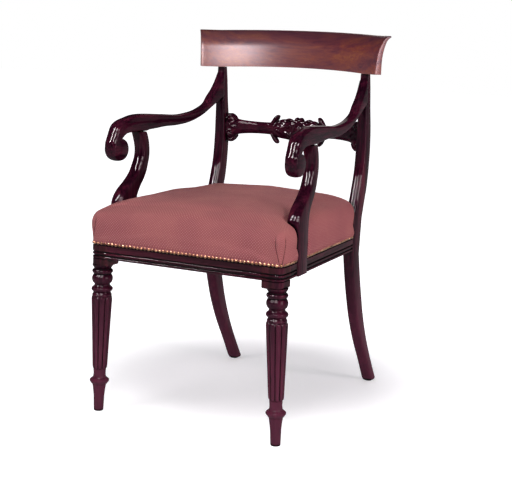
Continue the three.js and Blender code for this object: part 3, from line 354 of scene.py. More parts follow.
def mahogany(name, grain, stops, roughness, bent=0.6, coat=0.12, shine=0, rubbing=0.04):
    """stops are its colours from dark streaks to light ones, shine is the gloss under the coat."""
    material, tree = new_material(name)
    place = node(tree, "ShaderNodeTexCoord").outputs["Object"]
    figure = node(tree, "ShaderNodeTexNoise", {
        "Vector": along_grain(tree, place, figure_width, figure_stretch, grain),
        "Scale": 1, "Detail": 2, "Distortion": bent})
    streak = node(tree, "ShaderNodeTexNoise", {
        "Vector": along_grain(tree, place, streak_width, streak_stretch, grain),
        "Scale": 1, "Detail": 5, "Roughness": 0.6, "Distortion": bent / 2})
    mixed = node(tree, "ShaderNodeMix", {0: 0.45, 2: figure.outputs[0], 3: streak.outputs[0]})
    colour = ramp(tree, mixed.outputs[0], stops)
    pores = node(tree, "ShaderNodeTexNoise", {
        "Vector": along_grain(tree, place, pore_width, pore_stretch, grain),
        "Scale": 1, "Detail": 1})
    pore = node(tree, "ShaderNodeMapRange", {0: pores.outputs[0], 1: 0.62, 2: 0.72})
    dark = node(tree, "ShaderNodeMix", {0: pore.outputs[0], 6: colour, 7: linear(stops[0][1])},
                data_type="RGBA")
    edges = node(tree, "ShaderNodeNewGeometry").outputs["Pointiness"]
    rubbed = node(tree, "ShaderNodeMapRange", {
        0: edges, 1: rubbed_from, 2: rubbed_full, 4: rubbing})
    worn = node(tree, "ShaderNodeMix", {0: rubbed.outputs[0], 6: dark.outputs[2],
                                        7: linear(rubbed_colour)}, data_type="RGBA")
    parts = node(tree, "ShaderNodeSeparateXYZ", {0: place})
    # Painted light: the wood is made paler and purple towards the floor, as if lit from the floor.
    low = node(tree, "ShaderNodeMapRange", {
        0: parts.outputs["Z"], 1: painted_floor_light_from, 2: painted_floor_light_full, 4: painted_floor_light_share})
    painted_floor_light = node(tree, "ShaderNodeMix", {0: low.outputs[0], 6: worn.outputs[2],
                                         7: linear(painted_floor_light_colour)}, data_type="RGBA")
    # Painted shade: above 0.84 m, on the lip of the top rail, the wood is darkened as if in shade.
    high = node(tree, "ShaderNodeMapRange", {
        0: parts.outputs["Z"], 1: painted_top_shade_from, 2: painted_top_shade_full, 4: painted_top_shade_share})
    painted_top_shade = node(tree, "ShaderNodeMix", {0: high.outputs[0], 6: painted_floor_light.outputs[2],
                                           7: linear(painted_top_shade_colour)}, data_type="RGBA")
    # Painted shade: the wood is darkened in grooves and hollows, where other wood stands close.
    openness = node(tree, "ShaderNodeAmbientOcclusion", {"Distance": painted_shade_reach * mm},
                    samples=8)
    hollow = node(tree, "ShaderNodeMapRange", {
        0: openness.outputs["AO"], 1: painted_shade_from, 2: painted_shade_full})
    shaded = node(tree, "ShaderNodeMix", {0: hollow.outputs[0], 6: painted_top_shade.outputs[2],
                                          7: linear(painted_shade_colour)}, data_type="RGBA")
    gloss = node(tree, "ShaderNodeMapRange", {0: streak.outputs[0], 3: roughness,
                                              4: roughness + 0.12})
    dents = node(tree, "ShaderNodeBump", {"Strength": 0.25, "Distance": 0.0002,
                                          "Height": pore.outputs[0]}, invert=True)
    surface = node(tree, "ShaderNodeBsdfPrincipled", {
        "Base Color": shaded.outputs[2], "Roughness": gloss.outputs[0], "IOR": polish_ior,
        "Specular IOR Level": shine, "Coat Weight": coat, "Coat Roughness": 0.06,
        "Coat IOR": polish_ior, "Normal": dents.outputs[0]})
    finish_material(tree, surface)
    return material


dark_stops = [(0.3, "0e020c"), (0.46, "260718"), (0.6, "421226"), (0.78, "6a2a38")]
mahogany_x = mahogany("french_polished_mahogany_across", 0, dark_stops, 0.24)
mahogany_y = mahogany("french_polished_mahogany_back", 1, dark_stops, 0.24)
mahogany_z = mahogany("french_polished_mahogany_upright", 2, dark_stops, 0.24, rubbing=0.1)
figured_stops = [(0.3, "46162e"), (0.44, "6a2c34"), (0.57, "803c30"), (0.74, "9a5a32")]
figured = mahogany("figured_mahogany_across", 0, figured_stops, 0.3, bent=0.7, coat=0, shine=0.5)
print("mahogany in", len([m for m in bpy.data.materials if "mahogany" in m.name]), "cuts")

# %% [markdown]
# The seat is covered in a rose worsted cloth with a small raised lozenge at each crossing of its
# threads. The threads lie along the cloth, not along the room, so each point of the seat carries
# its own place on the flat cloth, in an attribute, and the pattern is worked out from that. An
# image would blur. Two crossed waves draw the lozenges at any size. A second attribute marks the
# creases of the pleats, where shade is painted dark into the cloth's colour.

# %% Rose cloth
lozenge_pitch = 6.6
# The yarn of such a cloth is 0.4 mm thick. It is drawn 1.1 mm thick, so that the weave shows.
yarn_pitch = 1.1


def crossed_waves(tree, place, pitch):
    """Two sine waves at right angles, multiplied: a grid of bumps at a pitch in millimetres."""
    placed = node(tree, "ShaderNodeMapping", {
        0: place, "Scale": [2 * math.pi / (pitch * mm)] * 3})
    parts = node(tree, "ShaderNodeSeparateXYZ", {0: placed.outputs[0]})
    waves = [node(tree, "ShaderNodeMath", {0: parts.outputs[i]}, operation="SINE").outputs[0]
             for i in (0, 1)]
    return node(tree, "ShaderNodeMath", {0: waves[0], 1: waves[1]}, operation="MULTIPLY")


def rose_cloth():
    material, tree = new_material("rose_worsted_cloth")
    place = node(tree, "ShaderNodeAttribute", attribute_name="cloth_place").outputs["Vector"]
    room = node(tree, "ShaderNodeTexCoord").outputs["Object"]
    bumps = crossed_waves(tree, place, lozenge_pitch)
    lozenge = node(tree, "ShaderNodeMapRange", {0: bumps.outputs[0], 1: 0.35, 2: 0.8})
    yarn = crossed_waves(tree, place, yarn_pitch * 2)
    drift = node(tree, "ShaderNodeTexNoise", {"Vector": room, "Scale": 9, "Detail": 3})
    ground = ramp(tree, drift.outputs[0], [(0.3, "98515a"), (0.5, "a35a60"), (0.72, "ae6466")])
    threads = node(tree, "ShaderNodeMapRange", {0: yarn.outputs[0], 1: -1, 3: 0.0, 4: 0.3})
    woven = node(tree, "ShaderNodeMix", {0: threads.outputs[0], 6: ground,
                                         7: linear("7d484c")}, data_type="RGBA")
    strength = node(tree, "ShaderNodeMath", {0: lozenge.outputs[0], 1: 0.6},
                    operation="MULTIPLY")
    patterned = node(tree, "ShaderNodeMix", {0: strength.outputs[0], 6: woven.outputs[2],
                                             7: linear("d09c92")}, data_type="RGBA")
    height = node(tree, "ShaderNodeMath", {0: lozenge.outputs[0], 1: yarn.outputs[0]},
                  operation="ADD")
    relief = node(tree, "ShaderNodeBump", {"Strength": 0.5, "Distance": 0.0004,
                                           "Height": height.outputs[0]})
    # Painted shade: the creases of the pleats are darkened in the cloth's colour.
    painted_crease_shade = node(tree, "ShaderNodeAttribute", attribute_name="painted_crease_shade").outputs["Fac"]
    folded = node(tree, "ShaderNodeMix", {0: painted_crease_shade, 6: patterned.outputs[2],
                                          7: linear("2a1418")}, data_type="RGBA")
    surface = node(tree, "ShaderNodeBsdfPrincipled", {
        "Base Color": folded.outputs[2], "Roughness": 0.85, "Specular IOR Level": 0.05,
        "Sheen Weight": 0.12, "Sheen Roughness": 0.5, "Sheen Tint": linear("e8c0b8"),
        "Normal": relief.outputs[0]})
    finish_material(tree, surface)
    return material


rose = rose_cloth()
print("lozenges", lozenge_pitch, "mm apart")

# %% [markdown]
# The rest is what an upholsterer and a cabinet maker use: brass nails dulled by old lacquer and
# bright where rubbed, steel screws, beech blocks, jute webbing, hessian, black cotton.

# %% Brass, steel, beech and the plain cloths


def brass_heads():
    """Brass nail heads: turned yellow metal, dulled by old lacquer, bright where rubbed."""
    material, tree = new_material("rubbed_brass")
    place = node(tree, "ShaderNodeTexCoord").outputs["Object"]
    stain = node(tree, "ShaderNodeTexNoise", {"Vector": place, "Scale": 160, "Detail": 3})
    colour = ramp(tree, stain.outputs[0], [(0.3, "2e1c14"), (0.5, "664836"), (0.7, "a07c60")])
    dull = node(tree, "ShaderNodeMapRange", {0: stain.outputs[0], 3: 0.22, 4: 0.42})
    surface = node(tree, "ShaderNodeBsdfPrincipled", {
        "Base Color": colour, "Metallic": 1, "Roughness": dull.outputs[0]})
    finish_material(tree, surface)
    return material


def bright_steel():
    """Steel screws: drawn and turned, grey, with fine rings from the tool."""
    material, tree = new_material("turned_steel")
    place = node(tree, "ShaderNodeTexCoord").outputs["Object"]
    marks = node(tree, "ShaderNodeTexNoise", {"Vector": place, "Scale": 900, "Detail": 2})
    colour = ramp(tree, marks.outputs[0], [(0.3, "6d6f72"), (0.7, "9da0a4")])
    dull = node(tree, "ShaderNodeMapRange", {0: marks.outputs[0], 3: 0.3, 4: 0.5})
    surface = node(tree, "ShaderNodeBsdfPrincipled", {
        "Base Color": colour, "Metallic": 1, "Roughness": dull.outputs[0]})
    finish_material(tree, surface)
    return material


def planed_beech():
    """Beech: pale and even, with short flecks, planed and left bare."""
    material, tree = new_material("planed_beech")
    place = node(tree, "ShaderNodeTexCoord").outputs["Object"]
    flecks = node(tree, "ShaderNodeTexNoise", {
        "Vector": along_grain(tree, place, 1.5, 6, 2), "Scale": 1, "Detail": 3})
    colour = ramp(tree, flecks.outputs[0], [(0.3, "9a7146"), (0.6, "c19a6b"), (0.8, "d0ad80")])
    grooves = node(tree, "ShaderNodeBump", {"Strength": 0.2, "Distance": 0.0002,
                                            "Height": flecks.outputs[0]})
    surface = node(tree, "ShaderNodeBsdfPrincipled", {
        "Base Color": colour, "Roughness": 0.6, "IOR": 1.5, "Normal": grooves.outputs[0]})
    finish_material(tree, surface)
    return material


def plain_weave(name, dark, light, pitch, roughness):
    """A plain woven cloth: over one, under one, at a thread pitch in millimetres."""
    material, tree = new_material(name)
    place = node(tree, "ShaderNodeTexCoord").outputs["Object"]
    threads = crossed_waves(tree, place, pitch * 2)
    slubs = node(tree, "ShaderNodeTexNoise", {
        "Vector": along_grain(tree, place, pitch, 9, 0), "Scale": 1, "Detail": 2})
    height = node(tree, "ShaderNodeMapRange", {0: threads.outputs[0], 1: -1})
    shade = node(tree, "ShaderNodeMix", {0: 0.5, 2: height.outputs[0], 3: slubs.outputs[0]})
    colour = ramp(tree, shade.outputs[0], [(0.25, dark), (0.75, light)])
    relief = node(tree, "ShaderNodeBump", {"Strength": 0.6, "Distance": 0.0004,
                                           "Height": height.outputs[0]})
    surface = node(tree, "ShaderNodeBsdfPrincipled", {
        "Base Color": colour, "Roughness": roughness, "IOR": 1.45, "Sheen Weight": 0.15,
        "Normal": relief.outputs[0]})
    finish_material(tree, surface)
    return material


brass = brass_heads()
steel = bright_steel()
beech = planed_beech()
# Threads of jute, hessian and cotton are 1.5, 1 and 0.3 mm apart. The last two are drawn 1.2 and
# 0.8 mm apart, so that they can be seen.
jute = plain_weave("jute_webbing", "5f4c2c", "a98f5e", 1.5, 0.9)
hessian_cloth = plain_weave("hessian", "6c5832", "b59b69", 1.2, 0.9)
black_cotton = plain_weave("black_cotton", "0e0d0c", "2c2926", 0.8, 0.95)
horsehair = plain_weave("curled_horsehair", "1d1613", "5a493c", 2.0, 0.95)
print(len(bpy.data.materials), "materials")

# %% [markdown]
# Every fine piece is a closed mesh. Most are lofts: a ring of points is moved along the piece and
# the rings are skinned. Boards are sawn to a side outline and their narrow faces are crowned. That
# is the same loft taken across the board, with its outer rings drawn in. Where pieces meet, one is
# cut by the other with a boolean, as a joiner scribes one part to the next.

# %% Helpers for meshes
sharp_angle = math.radians(38)


def smooth_curve(rows, steps):
    """Points on a smooth curve through rows of numbers, with steps from each row to the next."""
    points = []
    last = len(rows) - 1
    for i in range(last):
        before, after = rows[max(i - 1, 0)], rows[min(i + 2, last)]
        start, end = rows[i], rows[i + 1]
        for step in range(steps):
            t = step / steps
            point = []
            for a, b, c, d in zip(before, start, end, after):
                pull_in, pull_out = (c - a) / 2, (d - b) / 2
                point.append(
                    (2 * b - 2 * c + pull_in + pull_out) * t ** 3
                    + (3 * c - 3 * b - 2 * pull_in - pull_out) * t ** 2
                    + pull_in * t + b
                )
            points.append(tuple(point))
    points.append(tuple(rows[last]))
    return points


def loft(rings):
    """Vertices and faces of a closed skin over rings that have as many points each."""
    count = len(rings[0])
    vertices = [point for ring in rings for point in ring]
    faces = []
    for ring in range(len(rings) - 1):
        for i in range(count):
            a = ring * count + i
            b = ring * count + (i + 1) % count
            faces.append((a, b, b + count, a + count))
    faces.append(tuple(range(count)))
    faces.append(tuple(len(vertices) - count + i for i in range(count)))
    return vertices, faces


def clean_mesh(name, vertices, faces):
    """A mesh with its faces pointing out and its wide flat faces cut into triangles."""
    data = bpy.data.meshes.new(name)
    data.from_pydata([tuple(v) for v in vertices], [], faces)
    work = bmesh.new()
    work.from_mesh(data)
    bmesh.ops.remove_doubles(work, verts=work.verts, dist=0.00001)
    bmesh.ops.recalc_face_normals(work, faces=work.faces)
    wide = [face for face in work.faces if len(face.verts) > 4]
    bmesh.ops.triangulate(work, faces=wide)
    work.to_mesh(data)
    work.free()
    return data


def scratch_object(name, vertices, faces):
    """An object that is used for cutting, and isn't a piece of the chair."""
    made = bpy.data.objects.new(name, clean_mesh(name, vertices, faces))
    bpy.context.collection.objects.link(made)
    return made


def applied(target):
    """Turns the object's modifiers into mesh."""
    bpy.context.view_layer.update()
    found = target.evaluated_get(bpy.context.evaluated_depsgraph_get())
    data = bpy.data.meshes.new_from_object(found)
    target.modifiers.clear()
    old = target.data
    target.data = data
    bpy.data.meshes.remove(old)
    return target


def boolean(target, tool, operation="DIFFERENCE"):
    """Cuts the target with a tool, or joins or keeps what they share, and removes the tool."""
    cut = target.modifiers.new("cut", "BOOLEAN")
    cut.operation = operation
    cut.solver = "EXACT"
    cut.object = tool
    applied(target)
    bpy.data.objects.remove(tool)
    return target


def dress(target, nodes, material):
    """Gives a fine piece its finish, shading and body, and lets it stand for its solids."""
    data = target.data
    data.materials.clear()
    data.materials.append(material)
    for polygon in data.polygons:
        polygon.use_smooth = True
        polygon.material_index = 0
    data.set_sharp_from_angle(angle=sharp_angle)
    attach(target, "root")
    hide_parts(*nodes)
    return target


def mirrored(target, name):
    """The same piece for the left side."""
    data = target.data.copy()
    data.name = name
    data.transform(Matrix.Scale(-1, 4, Vector((1, 0, 0))))
    data.flip_normals()
    made = bpy.data.objects.new(name, data)
    bpy.context.collection.objects.link(made)
    return made


def dress_pair(target, node_name, material):
    """Dresses a right-hand piece and makes its left-hand twin."""
    twin = mirrored(target, f"{node_name}_left_fine")
    target.name = f"{node_name}_right_fine"
    dress(target, [f"{node_name}_right"], material)
    dress(twin, [f"{node_name}_left"], material)


def drawn_in(outline, distance):
    """The closed outline moved inwards by a distance. Points run anticlockwise."""
    count = len(outline)
    moved = []
    for i, (y, z) in enumerate(outline):
        before, after = outline[i - 1], outline[(i + 1) % count]
        into = Vector((y - before[0], z - before[1]))
        away = Vector((after[0] - y, after[1] - z))
        if into.length < 1e-6 or away.length < 1e-6:
            moved.append((y, z))
            continue
        first = Vector((-into.y, into.x)).normalized()
        second = Vector((-away.y, away.x)).normalized()
        middle = (first + second) / max(1 + first.dot(second), 0.35)
        moved.append((y + middle.x * distance, z + middle.y * distance))
    return moved


def anticlockwise(outline):
    area = sum(a[0] * b[1] - b[0] * a[1] for a, b in zip(outline, outline[1:] + outline[:1]))
    return outline if area > 0 else outline[::-1]


def board(outline, width, edge, place, rounds=14):
    """A board sawn to a side outline of (back, up) points, its narrow faces crowned across."""
    outline = anticlockwise(outline)
    rings = []
    for step in range(rounds + 1):
        angle = math.pi * (step / rounds - 0.5)
        x, draw = width / 2 * math.sin(angle), edge * (1 - math.cos(angle))
        rings.append([place(x, y, z) for y, z in drawn_in(outline, draw)])
    return loft(rings)


def box_tool(name, low, high):
    """A box between two corners, in millimetres, to cut with."""
    (x0, y0, z0), (x1, y1, z1) = low, high
    rings = [[world(x0, y0, z), world(x1, y0, z), world(x1, y1, z), world(x0, y1, z)]
             for z in (z0, z1)]
    return scratch_object(name, *loft(rings))


print("helpers for meshes are ready")

# %% [markdown]
# A back leg and its stile are one plank: it sweeps back like a sabre below the seat, and leans
# back above it. The real one is sawn from a wide board, and a spokeshave rounds its edges.
# A row of shares gives the front edge and the depth at each height.

# %% Back legs
overrun = 12
back_leg_face = 444
back_leg_sweep = 155.5
back_leg_depth = 43.5
back_leg_width = 26
stile_top_width = 21
half_back = 209
back_leg_inner = half_back - back_leg_width
back_leg_centre = half_back - back_leg_width / 2
leg_edge = 4
stile_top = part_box("top_rail")[0].z / mm - fit_gap
foot_chamfer = 6
heel_chamfer = 9

# Height share from the floor to the seat rails, sweep share, depth share.
sabre_shares = [
    (0, 1.013, 0.74), (0.167, 0.775, 0.69), (0.333, 0.524, 0.8), (0.498, 0.325, 0.9),
    (0.664, 0.183, 0.966), (0.831, 0.07, 1), (0.97, 0, 1),
]
# The same from the top of the seat rails to the top of the stile.
stile_shares = [
    (0.017, 0, 1.17), (0.141, 0.135, 0.98), (0.221, 0.2, 0.95), (0.342, 0.277, 0.839),
    (0.484, 0.315, 0.793), (0.626, 0.3215, 0.759), (0.769, 0.3215, 0.632),
    (0.884, 0.334, 0.517), (1, 0.347, 0.356),
]


def leg_edges(shares, bottom, top):
    """The front and back edges of the leg as (back, up) points, from the bottom up."""
    front, rear = [], []
    for height, sweep, depth in shares:
        z = bottom + (top - bottom) * height
        face = back_leg_face + back_leg_sweep * sweep
        front.append((face, z))
        rear.append((face + back_leg_depth * depth, z))
    return front, rear


sabre_front, sabre_rear = leg_edges(sabre_shares, 0, rail_bottom)
stile_front, stile_rear = leg_edges(stile_shares, rail_top, stile_top)
stile_front_curve = smooth_curve(stile_front, 8)


def back_leg_outline():
    front = smooth_curve(sabre_front, 8) + stile_front_curve
    rear = smooth_curve(sabre_rear, 8) + smooth_curve(stile_rear, 8)
    toe, heel = front.pop(0), rear.pop(0)
    front = [p for p in front if p[1] > foot_chamfer + 1]
    rear = [p for p in rear if p[1] > heel_chamfer + 1]
    front.append((front[-1][0], stile_top + overrun))
    rear.append((rear[-1][0], stile_top + overrun))
    foot = [
        (toe[0] - foot_chamfer / 2, toe[1] + foot_chamfer),
        (toe[0] + foot_chamfer / 2, toe[1]),
        (heel[0] - heel_chamfer, heel[1]),
        (heel[0] - heel_chamfer / 3, heel[1] + heel_chamfer),
    ]
    return front[::-1] + foot + rear


taper_start = rail_top + (stile_top - rail_top) * stile_shares[4][0]


def leg_place(x, y, z):
    """Stands the board at its side of the chair. It narrows above the arm."""
    share = min(max((z - taper_start) / (stile_top - taper_start), 0), 1)
    width = back_leg_width + (stile_top_width - back_leg_width) * share
    return world(x * width / back_leg_width + back_leg_centre, y, z)


def back_leg_body(grow=0.0):
    outline = anticlockwise(back_leg_outline())
    if grow:
        outline = drawn_in(outline, -grow)
    width = back_leg_width + 2 * grow
    leg = scratch_object("back_leg", *board(outline, width, leg_edge, leg_place))
    top = box_tool("level", (0, 300, stile_top + grow), (400, 800, stile_top + 100))
    return boolean(leg, top)


dress_pair(back_leg_body(), "back_leg", mahogany_z)
print("back legs stand", round(stile_top, 1), "mm high")

# %% [markdown]
# The arm and the S-shaped support are boards too, sawn with a bow saw and then rounded. They lean
# in towards the back, so each point of the board is moved sideways by its distance back. The arm
# ends in a scroll at the front and dies away up the front of the stile, where it is scribed to it.

# %% Arms and supports
arm_width = 31
arm_rear_width = 22.5
arm_front = 51.5
arm_centre_front = half_front - 13
arm_meet_share = 1.125
arm_underside = rail_top + 207
scroll_height = arm_underside - 37
scroll_lift = 2
scroll_radius = 29.5
scroll_end_radius = 25
scroll_turn = 256
arm_edge = 5
support_front = 79
support_depth = 60
support_lap = 13
arm_length = back_leg_face - arm_front
arm_rise = stile_top - scroll_height
arm_lean = (arm_centre_front - back_leg_centre) / (arm_length * arm_meet_share)

# Length share and rise share along the top of the arm, from the stile to the scroll.
arm_top_shares = [
    (1.19, 1.165), (1.146, 0.993), (1.124, 0.9), (1.093, 0.8), (1.052, 0.695), (1.004, 0.602),
    (0.96, 0.508), (0.859, 0.433), (0.759, 0.4), (0.642, 0.386), (0.489, 0.406), (0.311, 0.428),
    (0.222, 0.425), (0.153, 0.397), (0.094, 0.364), (0.051, 0.304), (0.023, 0.188), (0.004, 0.099),
]
arm_notch_shares = [(0.104, 0.166), (0.125, 0.188), (0.16, 0.199)]
arm_seat_shares = (1, 1.68)
arm_rear_shares = [
    (0.345, 0.215), (0.428, 0.226), (0.522, 0.24), (0.642, 0.243), (0.769, 0.27),
    (0.889, 0.337), (0.973, 0.414), (1.06, 0.502), (1.118, 0.563), (1.16, 0.61),
]
# Height share, front share and depth share of the support, from the rail's lower edge up.
support_shares = [
    (0, 0.04, 0.95), (0.192, 0.02, 0.965), (0.33, 0.01, 0.965), (0.381, -0.025, 1.01),
    (0.424, -0.033, 1.033), (0.479, 0.075, 1), (0.54, 0.325, 0.917), (0.597, 0.69, 0.76),
    (0.662, 1.01, 0.617), (0.725, 1.19, 0.533), (0.787, 1.325, 0.475), (0.852, 1.36, 0.45),
    (0.918, 1.29, 0.475), (0.976, 1.19, 0.483), (1, 1.13, 0.483),
]


def arm_centre(back):
    return arm_centre_front - arm_lean * (back - arm_front)


def arm_place(x, y, z):
    share = min(max((y - arm_front) / (arm_length * arm_meet_share), 0), 1)
    width = arm_width + (arm_rear_width - arm_width) * share
    return world(x * width / arm_width + arm_centre(y), y, z)


def arm_point(share):
    return (arm_front + arm_length * share[0], scroll_height + arm_rise * share[1])


def scroll_arc(steps=44):
    points = []
    for step in range(steps + 1):
        turn = step / steps
        angle = math.pi + math.radians(scroll_turn) * turn
        radius = scroll_radius + (scroll_end_radius - scroll_radius) * turn
        points.append((
            arm_front + scroll_radius + radius * math.cos(angle),
            scroll_height + scroll_lift + radius * math.sin(angle),
        ))
    return points


def arm_outline():
    seat = [(support_front + support_depth * share, arm_underside) for share in arm_seat_shares]
    return (
        smooth_curve([arm_point(s) for s in arm_top_shares], 5)
        + scroll_arc()
        + [arm_point(s) for s in arm_notch_shares]
        + seat
        + smooth_curve([arm_point(s) for s in arm_rear_shares], 5)
        + [(stile_front[-1][0] + back_leg_depth, stile_top + arm_width)]
    )


def stile_shadow(name, inner, outer, clear=fit_gap, bottom=None):
    """All that lies behind the stile's front edge, to cut what is scribed to it."""
    lowest = rail_top if bottom is None else bottom
    edge = [(y - clear, z) for y, z in stile_front_curve if z > lowest]
    outline = [(edge[0][0], lowest), *edge, (edge[-1][0], stile_top + 150),
               (edge[-1][0] + 300, stile_top + 150), (edge[-1][0] + 300, lowest)]
    rings = [[world(x, y, z) for y, z in outline] for x in (inner, outer)]
    return scratch_object(name, *loft(rings))


def arm_body():
    arm = scratch_object("arm", *board(arm_outline(), arm_width, arm_edge, arm_place))
    boolean(arm, stile_shadow("shadow", 120, 300))
    return boolean(arm, box_tool("level", (0, 0, stile_top), (400, 800, stile_top + 200)))


def run_on(before, last):
    """A point past the end of a curve, in the direction in which it ends."""
    share = overrun / abs(last[-1] - before[-1])
    return tuple(b + (b - a) * share for a, b in zip(before, last))


def support_body(grow=0.0):
    """The support's board, level at both ends."""
    height = arm_underside - fit_gap - rail_bottom
    rows = []
    for up, front_share, depth_share in support_shares:
        front = support_front + support_depth * front_share
        rows.append((front, front + support_depth * depth_share, rail_bottom + height * up))
    curve = smooth_curve(rows, 6)
    curve = [run_on(curve[1], curve[0])] + curve + [run_on(curve[-2], curve[-1])]
    outline = [(rear + grow, z) for _, rear, z in curve]
    outline += [(front - grow, z) for front, _, z in curve[::-1]]
    support = scratch_object("support", *board(outline, arm_width + 2 * grow, arm_edge, arm_place))
    top = arm_underside - fit_gap + grow
    boolean(support, box_tool("above", (100, 0, top), (400, 400, top + 100)))
    bottom = rail_bottom - grow
    return boolean(support, box_tool("below", (100, 0, bottom - 100), (400, 400, bottom)))


def lap_tool(grow=0.0):
    """What is cut from the support's inner half, so that it laps over the side rail."""
    near, far = support_front - overrun * 2, support_front + support_depth + overrun * 2
    rings = []
    for z in (rail_bottom - overrun, rail_top + fit_gap - grow):
        inner = [arm_centre(y) + arm_width / 2 - support_lap - grow for y in (near, far)]
        rings.append([world(inner[0], near, z), world(inner[1], far, z),
                      world(inner[1] - arm_width, far, z), world(inner[0] - arm_width, near, z)])
    return scratch_object("lap", *loft(rings))


dress_pair(arm_body(), "arm", mahogany_y)
dress_pair(boolean(support_body(), lap_tool()), "arm_support", mahogany_z)
print("arm undersides", round(arm_underside), "mm above the floor")

# %% [markdown]
# A front leg is one turning under a square block. A lathe cuts its beads and coves, and its ten
# reeds are then carved with a gouge, each with a rounded end. A screw modifier could turn the
# profile, but not the reeds, so each ring is worked out with the reeds in it.

# %% Front legs
corner_radius = 15
block_drop = 17
block_bottom = rail_bottom - block_drop
block_edge = 4
turning_radius = 24.4
leg_splay = 8
leg_reeds = 10
reed_depth = 3.2
reed_dome = 8
# The turning stands 4 mm outside the middle of its block.
leg_axis_x = half_front - leg_block / 2 + 4
leg_axis_y = leg_block / 2
leg_inner = half_front - leg_block
# The cloth is nailed to a rebate that begins 30 mm above the rails' lower edge.
rebate_height = 30
rebate_depth = 2.2

# Height share from the floor to the block, and radius share.
foot_shares = [
    [(0, 0.40), (0.004, 0.45), (0.012, 0.462), (0.061, 0.484), (0.11, 0.516), (0.159, 0.59),
     (0.186, 0.656)],
    [(0.188, 0.72), (0.196, 0.80), (0.204, 0.89), (0.212, 0.914), (0.22, 0.87), (0.228, 0.72)],
    [(0.230, 0.66), (0.240, 0.60), (0.252, 0.578), (0.27, 0.575), (0.286, 0.60)],
]
reeded_share_ends = ((0.292, 0.7), (0.79, 1.0))
bead_shares = [
    [(0.792, 0.90), (0.802, 0.90), (0.812, 0.82), (0.82, 0.79)],
    [(0.822, 0.86), (0.83, 0.965), (0.838, 0.992), (0.846, 0.965), (0.854, 0.86)],
    [(0.856, 0.79), (0.864, 0.73), (0.871, 0.725), (0.878, 0.78)],
    [(0.88, 0.84), (0.893, 0.93), (0.909, 0.975), (0.924, 0.93), (0.937, 0.83)],
    [(0.939, 0.79), (0.945, 0.79)],
    [(0.946, 0.90), (0.952, 0.95), (0.958, 0.967), (0.964, 0.95), (0.969, 0.90)],
    [(0.971, 0.78), (0.977, 0.79), (0.986, 0.86), (0.993, 0.93), (1.0, 0.96)],
    [(1.004, 0.96)],
]
leg_sides = leg_reeds * 16


def reed_radius(angle, share):
    """Radius share of the reeded part: round reeds that end in small domes."""
    (low, low_radius), (high, high_radius) = reeded_share_ends
    along = (share - low) / (high - low)
    body = low_radius + (high_radius - low_radius) * along
    across = (angle * leg_reeds / (2 * math.pi)) % 1 * 2 - 1
    dome = reed_dome / (block_bottom * (high - low))
    end = max(1 - along / dome, 1 - (1 - along) / dome, 0)
    crown = math.sqrt(max(1 - across ** 2 - end ** 2, 0))
    return body - reed_depth / turning_radius * (1 - crown)


def leg_ring(share, radius_at):
    ring = []
    for side in range(leg_sides):
        angle = 2 * math.pi * side / leg_sides
        reach = turning_radius * radius_at(angle)
        lean = leg_splay * (1 - share)
        ring.append(world(leg_axis_x + lean + reach * math.cos(angle),
                          leg_axis_y + reach * math.sin(angle), block_bottom * share))
    return ring


def turned_rings(groups):
    rings = []
    for group in groups:
        rows = smooth_curve(group, 4) if len(group) > 2 else group
        rings += [leg_ring(share, lambda angle, r=radius: r) for share, radius in rows]
    return rings


def reeded_rings():
    (low, _), (high, _) = reeded_share_ends
    dome = reed_dome / block_bottom
    stops = [low + dome * i / 6 for i in range(6)]
    stops += [low + dome + (high - low - 2 * dome) * i / 12 for i in range(13)]
    stops += [high - dome + dome * i / 6 for i in range(1, 7)]
    return [leg_ring(share, lambda angle, s=share: reed_radius(angle, s)) for share in stops]


def moulding_profile():
    """(inset, height) up the face of a seat rail: two reeds, a fascia and the cloth's rebate."""
    reed, groove, groove_depth, round_off = 6, 2.5, 3, 2.0
    rows = []
    for start in (0, reed + groove):
        for step in range(9):
            t = step / 8
            bulge = math.sqrt(max(1 - (2 * t - 1) ** 2, 0))
            rows.append((round_off * (1 - bulge), start + reed * t))
        rows.append((groove_depth, start + reed))
        rows.append((groove_depth, start + reed + groove))
    rows.append((0.5, 2 * (reed + groove)))
    rows.append((0, 2 * (reed + groove) + 0.5))
    rows.append((0, rebate_height - 0.5))
    rows.append((0.5, rebate_height))
    rows.append((rebate_depth, rebate_height))
    rows.append((rebate_depth, rail_top - rail_bottom))
    return rows


def block_plan(show_inset, back_inset):
    """Plan of the block: its outer front corner is round, to carry the moulding round it."""
    radius = corner_radius - show_inset
    outer = half_front - show_inset
    plan = [(leg_inner + back_inset, show_inset)]
    for step in range(13):
        angle = (step / 12 - 1) * math.pi / 2
        plan.append((outer - radius + radius * math.cos(angle),
                     show_inset + radius + radius * math.sin(angle)))
    plan.append((outer, leg_block - back_inset))
    plan.append((leg_inner + back_inset, leg_block - back_inset))
    return plan


def block_rings():
    rows = []
    for step in range(6):
        angle = math.pi / 2 * step / 5
        draw = block_edge * (1 - math.sin(angle))
        rows.append((draw + 0.5, draw, block_bottom + block_edge * (1 - math.cos(angle))))
    rows.append((0.5, 0, rail_bottom - 1.2))
    rows += [(inset, 0, rail_bottom + z) for inset, z in moulding_profile()]
    return [[world(x, y, z) for x, y in block_plan(show, back)] for show, back, z in rows]


def front_leg_body():
    turned_vertices, turned_faces = loft(
        turned_rings(foot_shares) + reeded_rings() + turned_rings(bead_shares))
    block_vertices, block_faces = loft(block_rings())
    start = len(turned_vertices)
    faces = turned_faces + [tuple(i + start for i in face) for face in block_faces]
    return scratch_object("front_leg", turned_vertices + block_vertices, faces)


dress_pair(front_leg_body(), "front_leg", mahogany_z)
print("front legs have", leg_reeds, "reeds each")

# %% [markdown]
# The seat rails are planed boards with two reeds worked along their lower edge with a scratch
# stock. Their section is drawn once and drawn out along each rail. The side rails are housed for
# the feet of the arm supports.

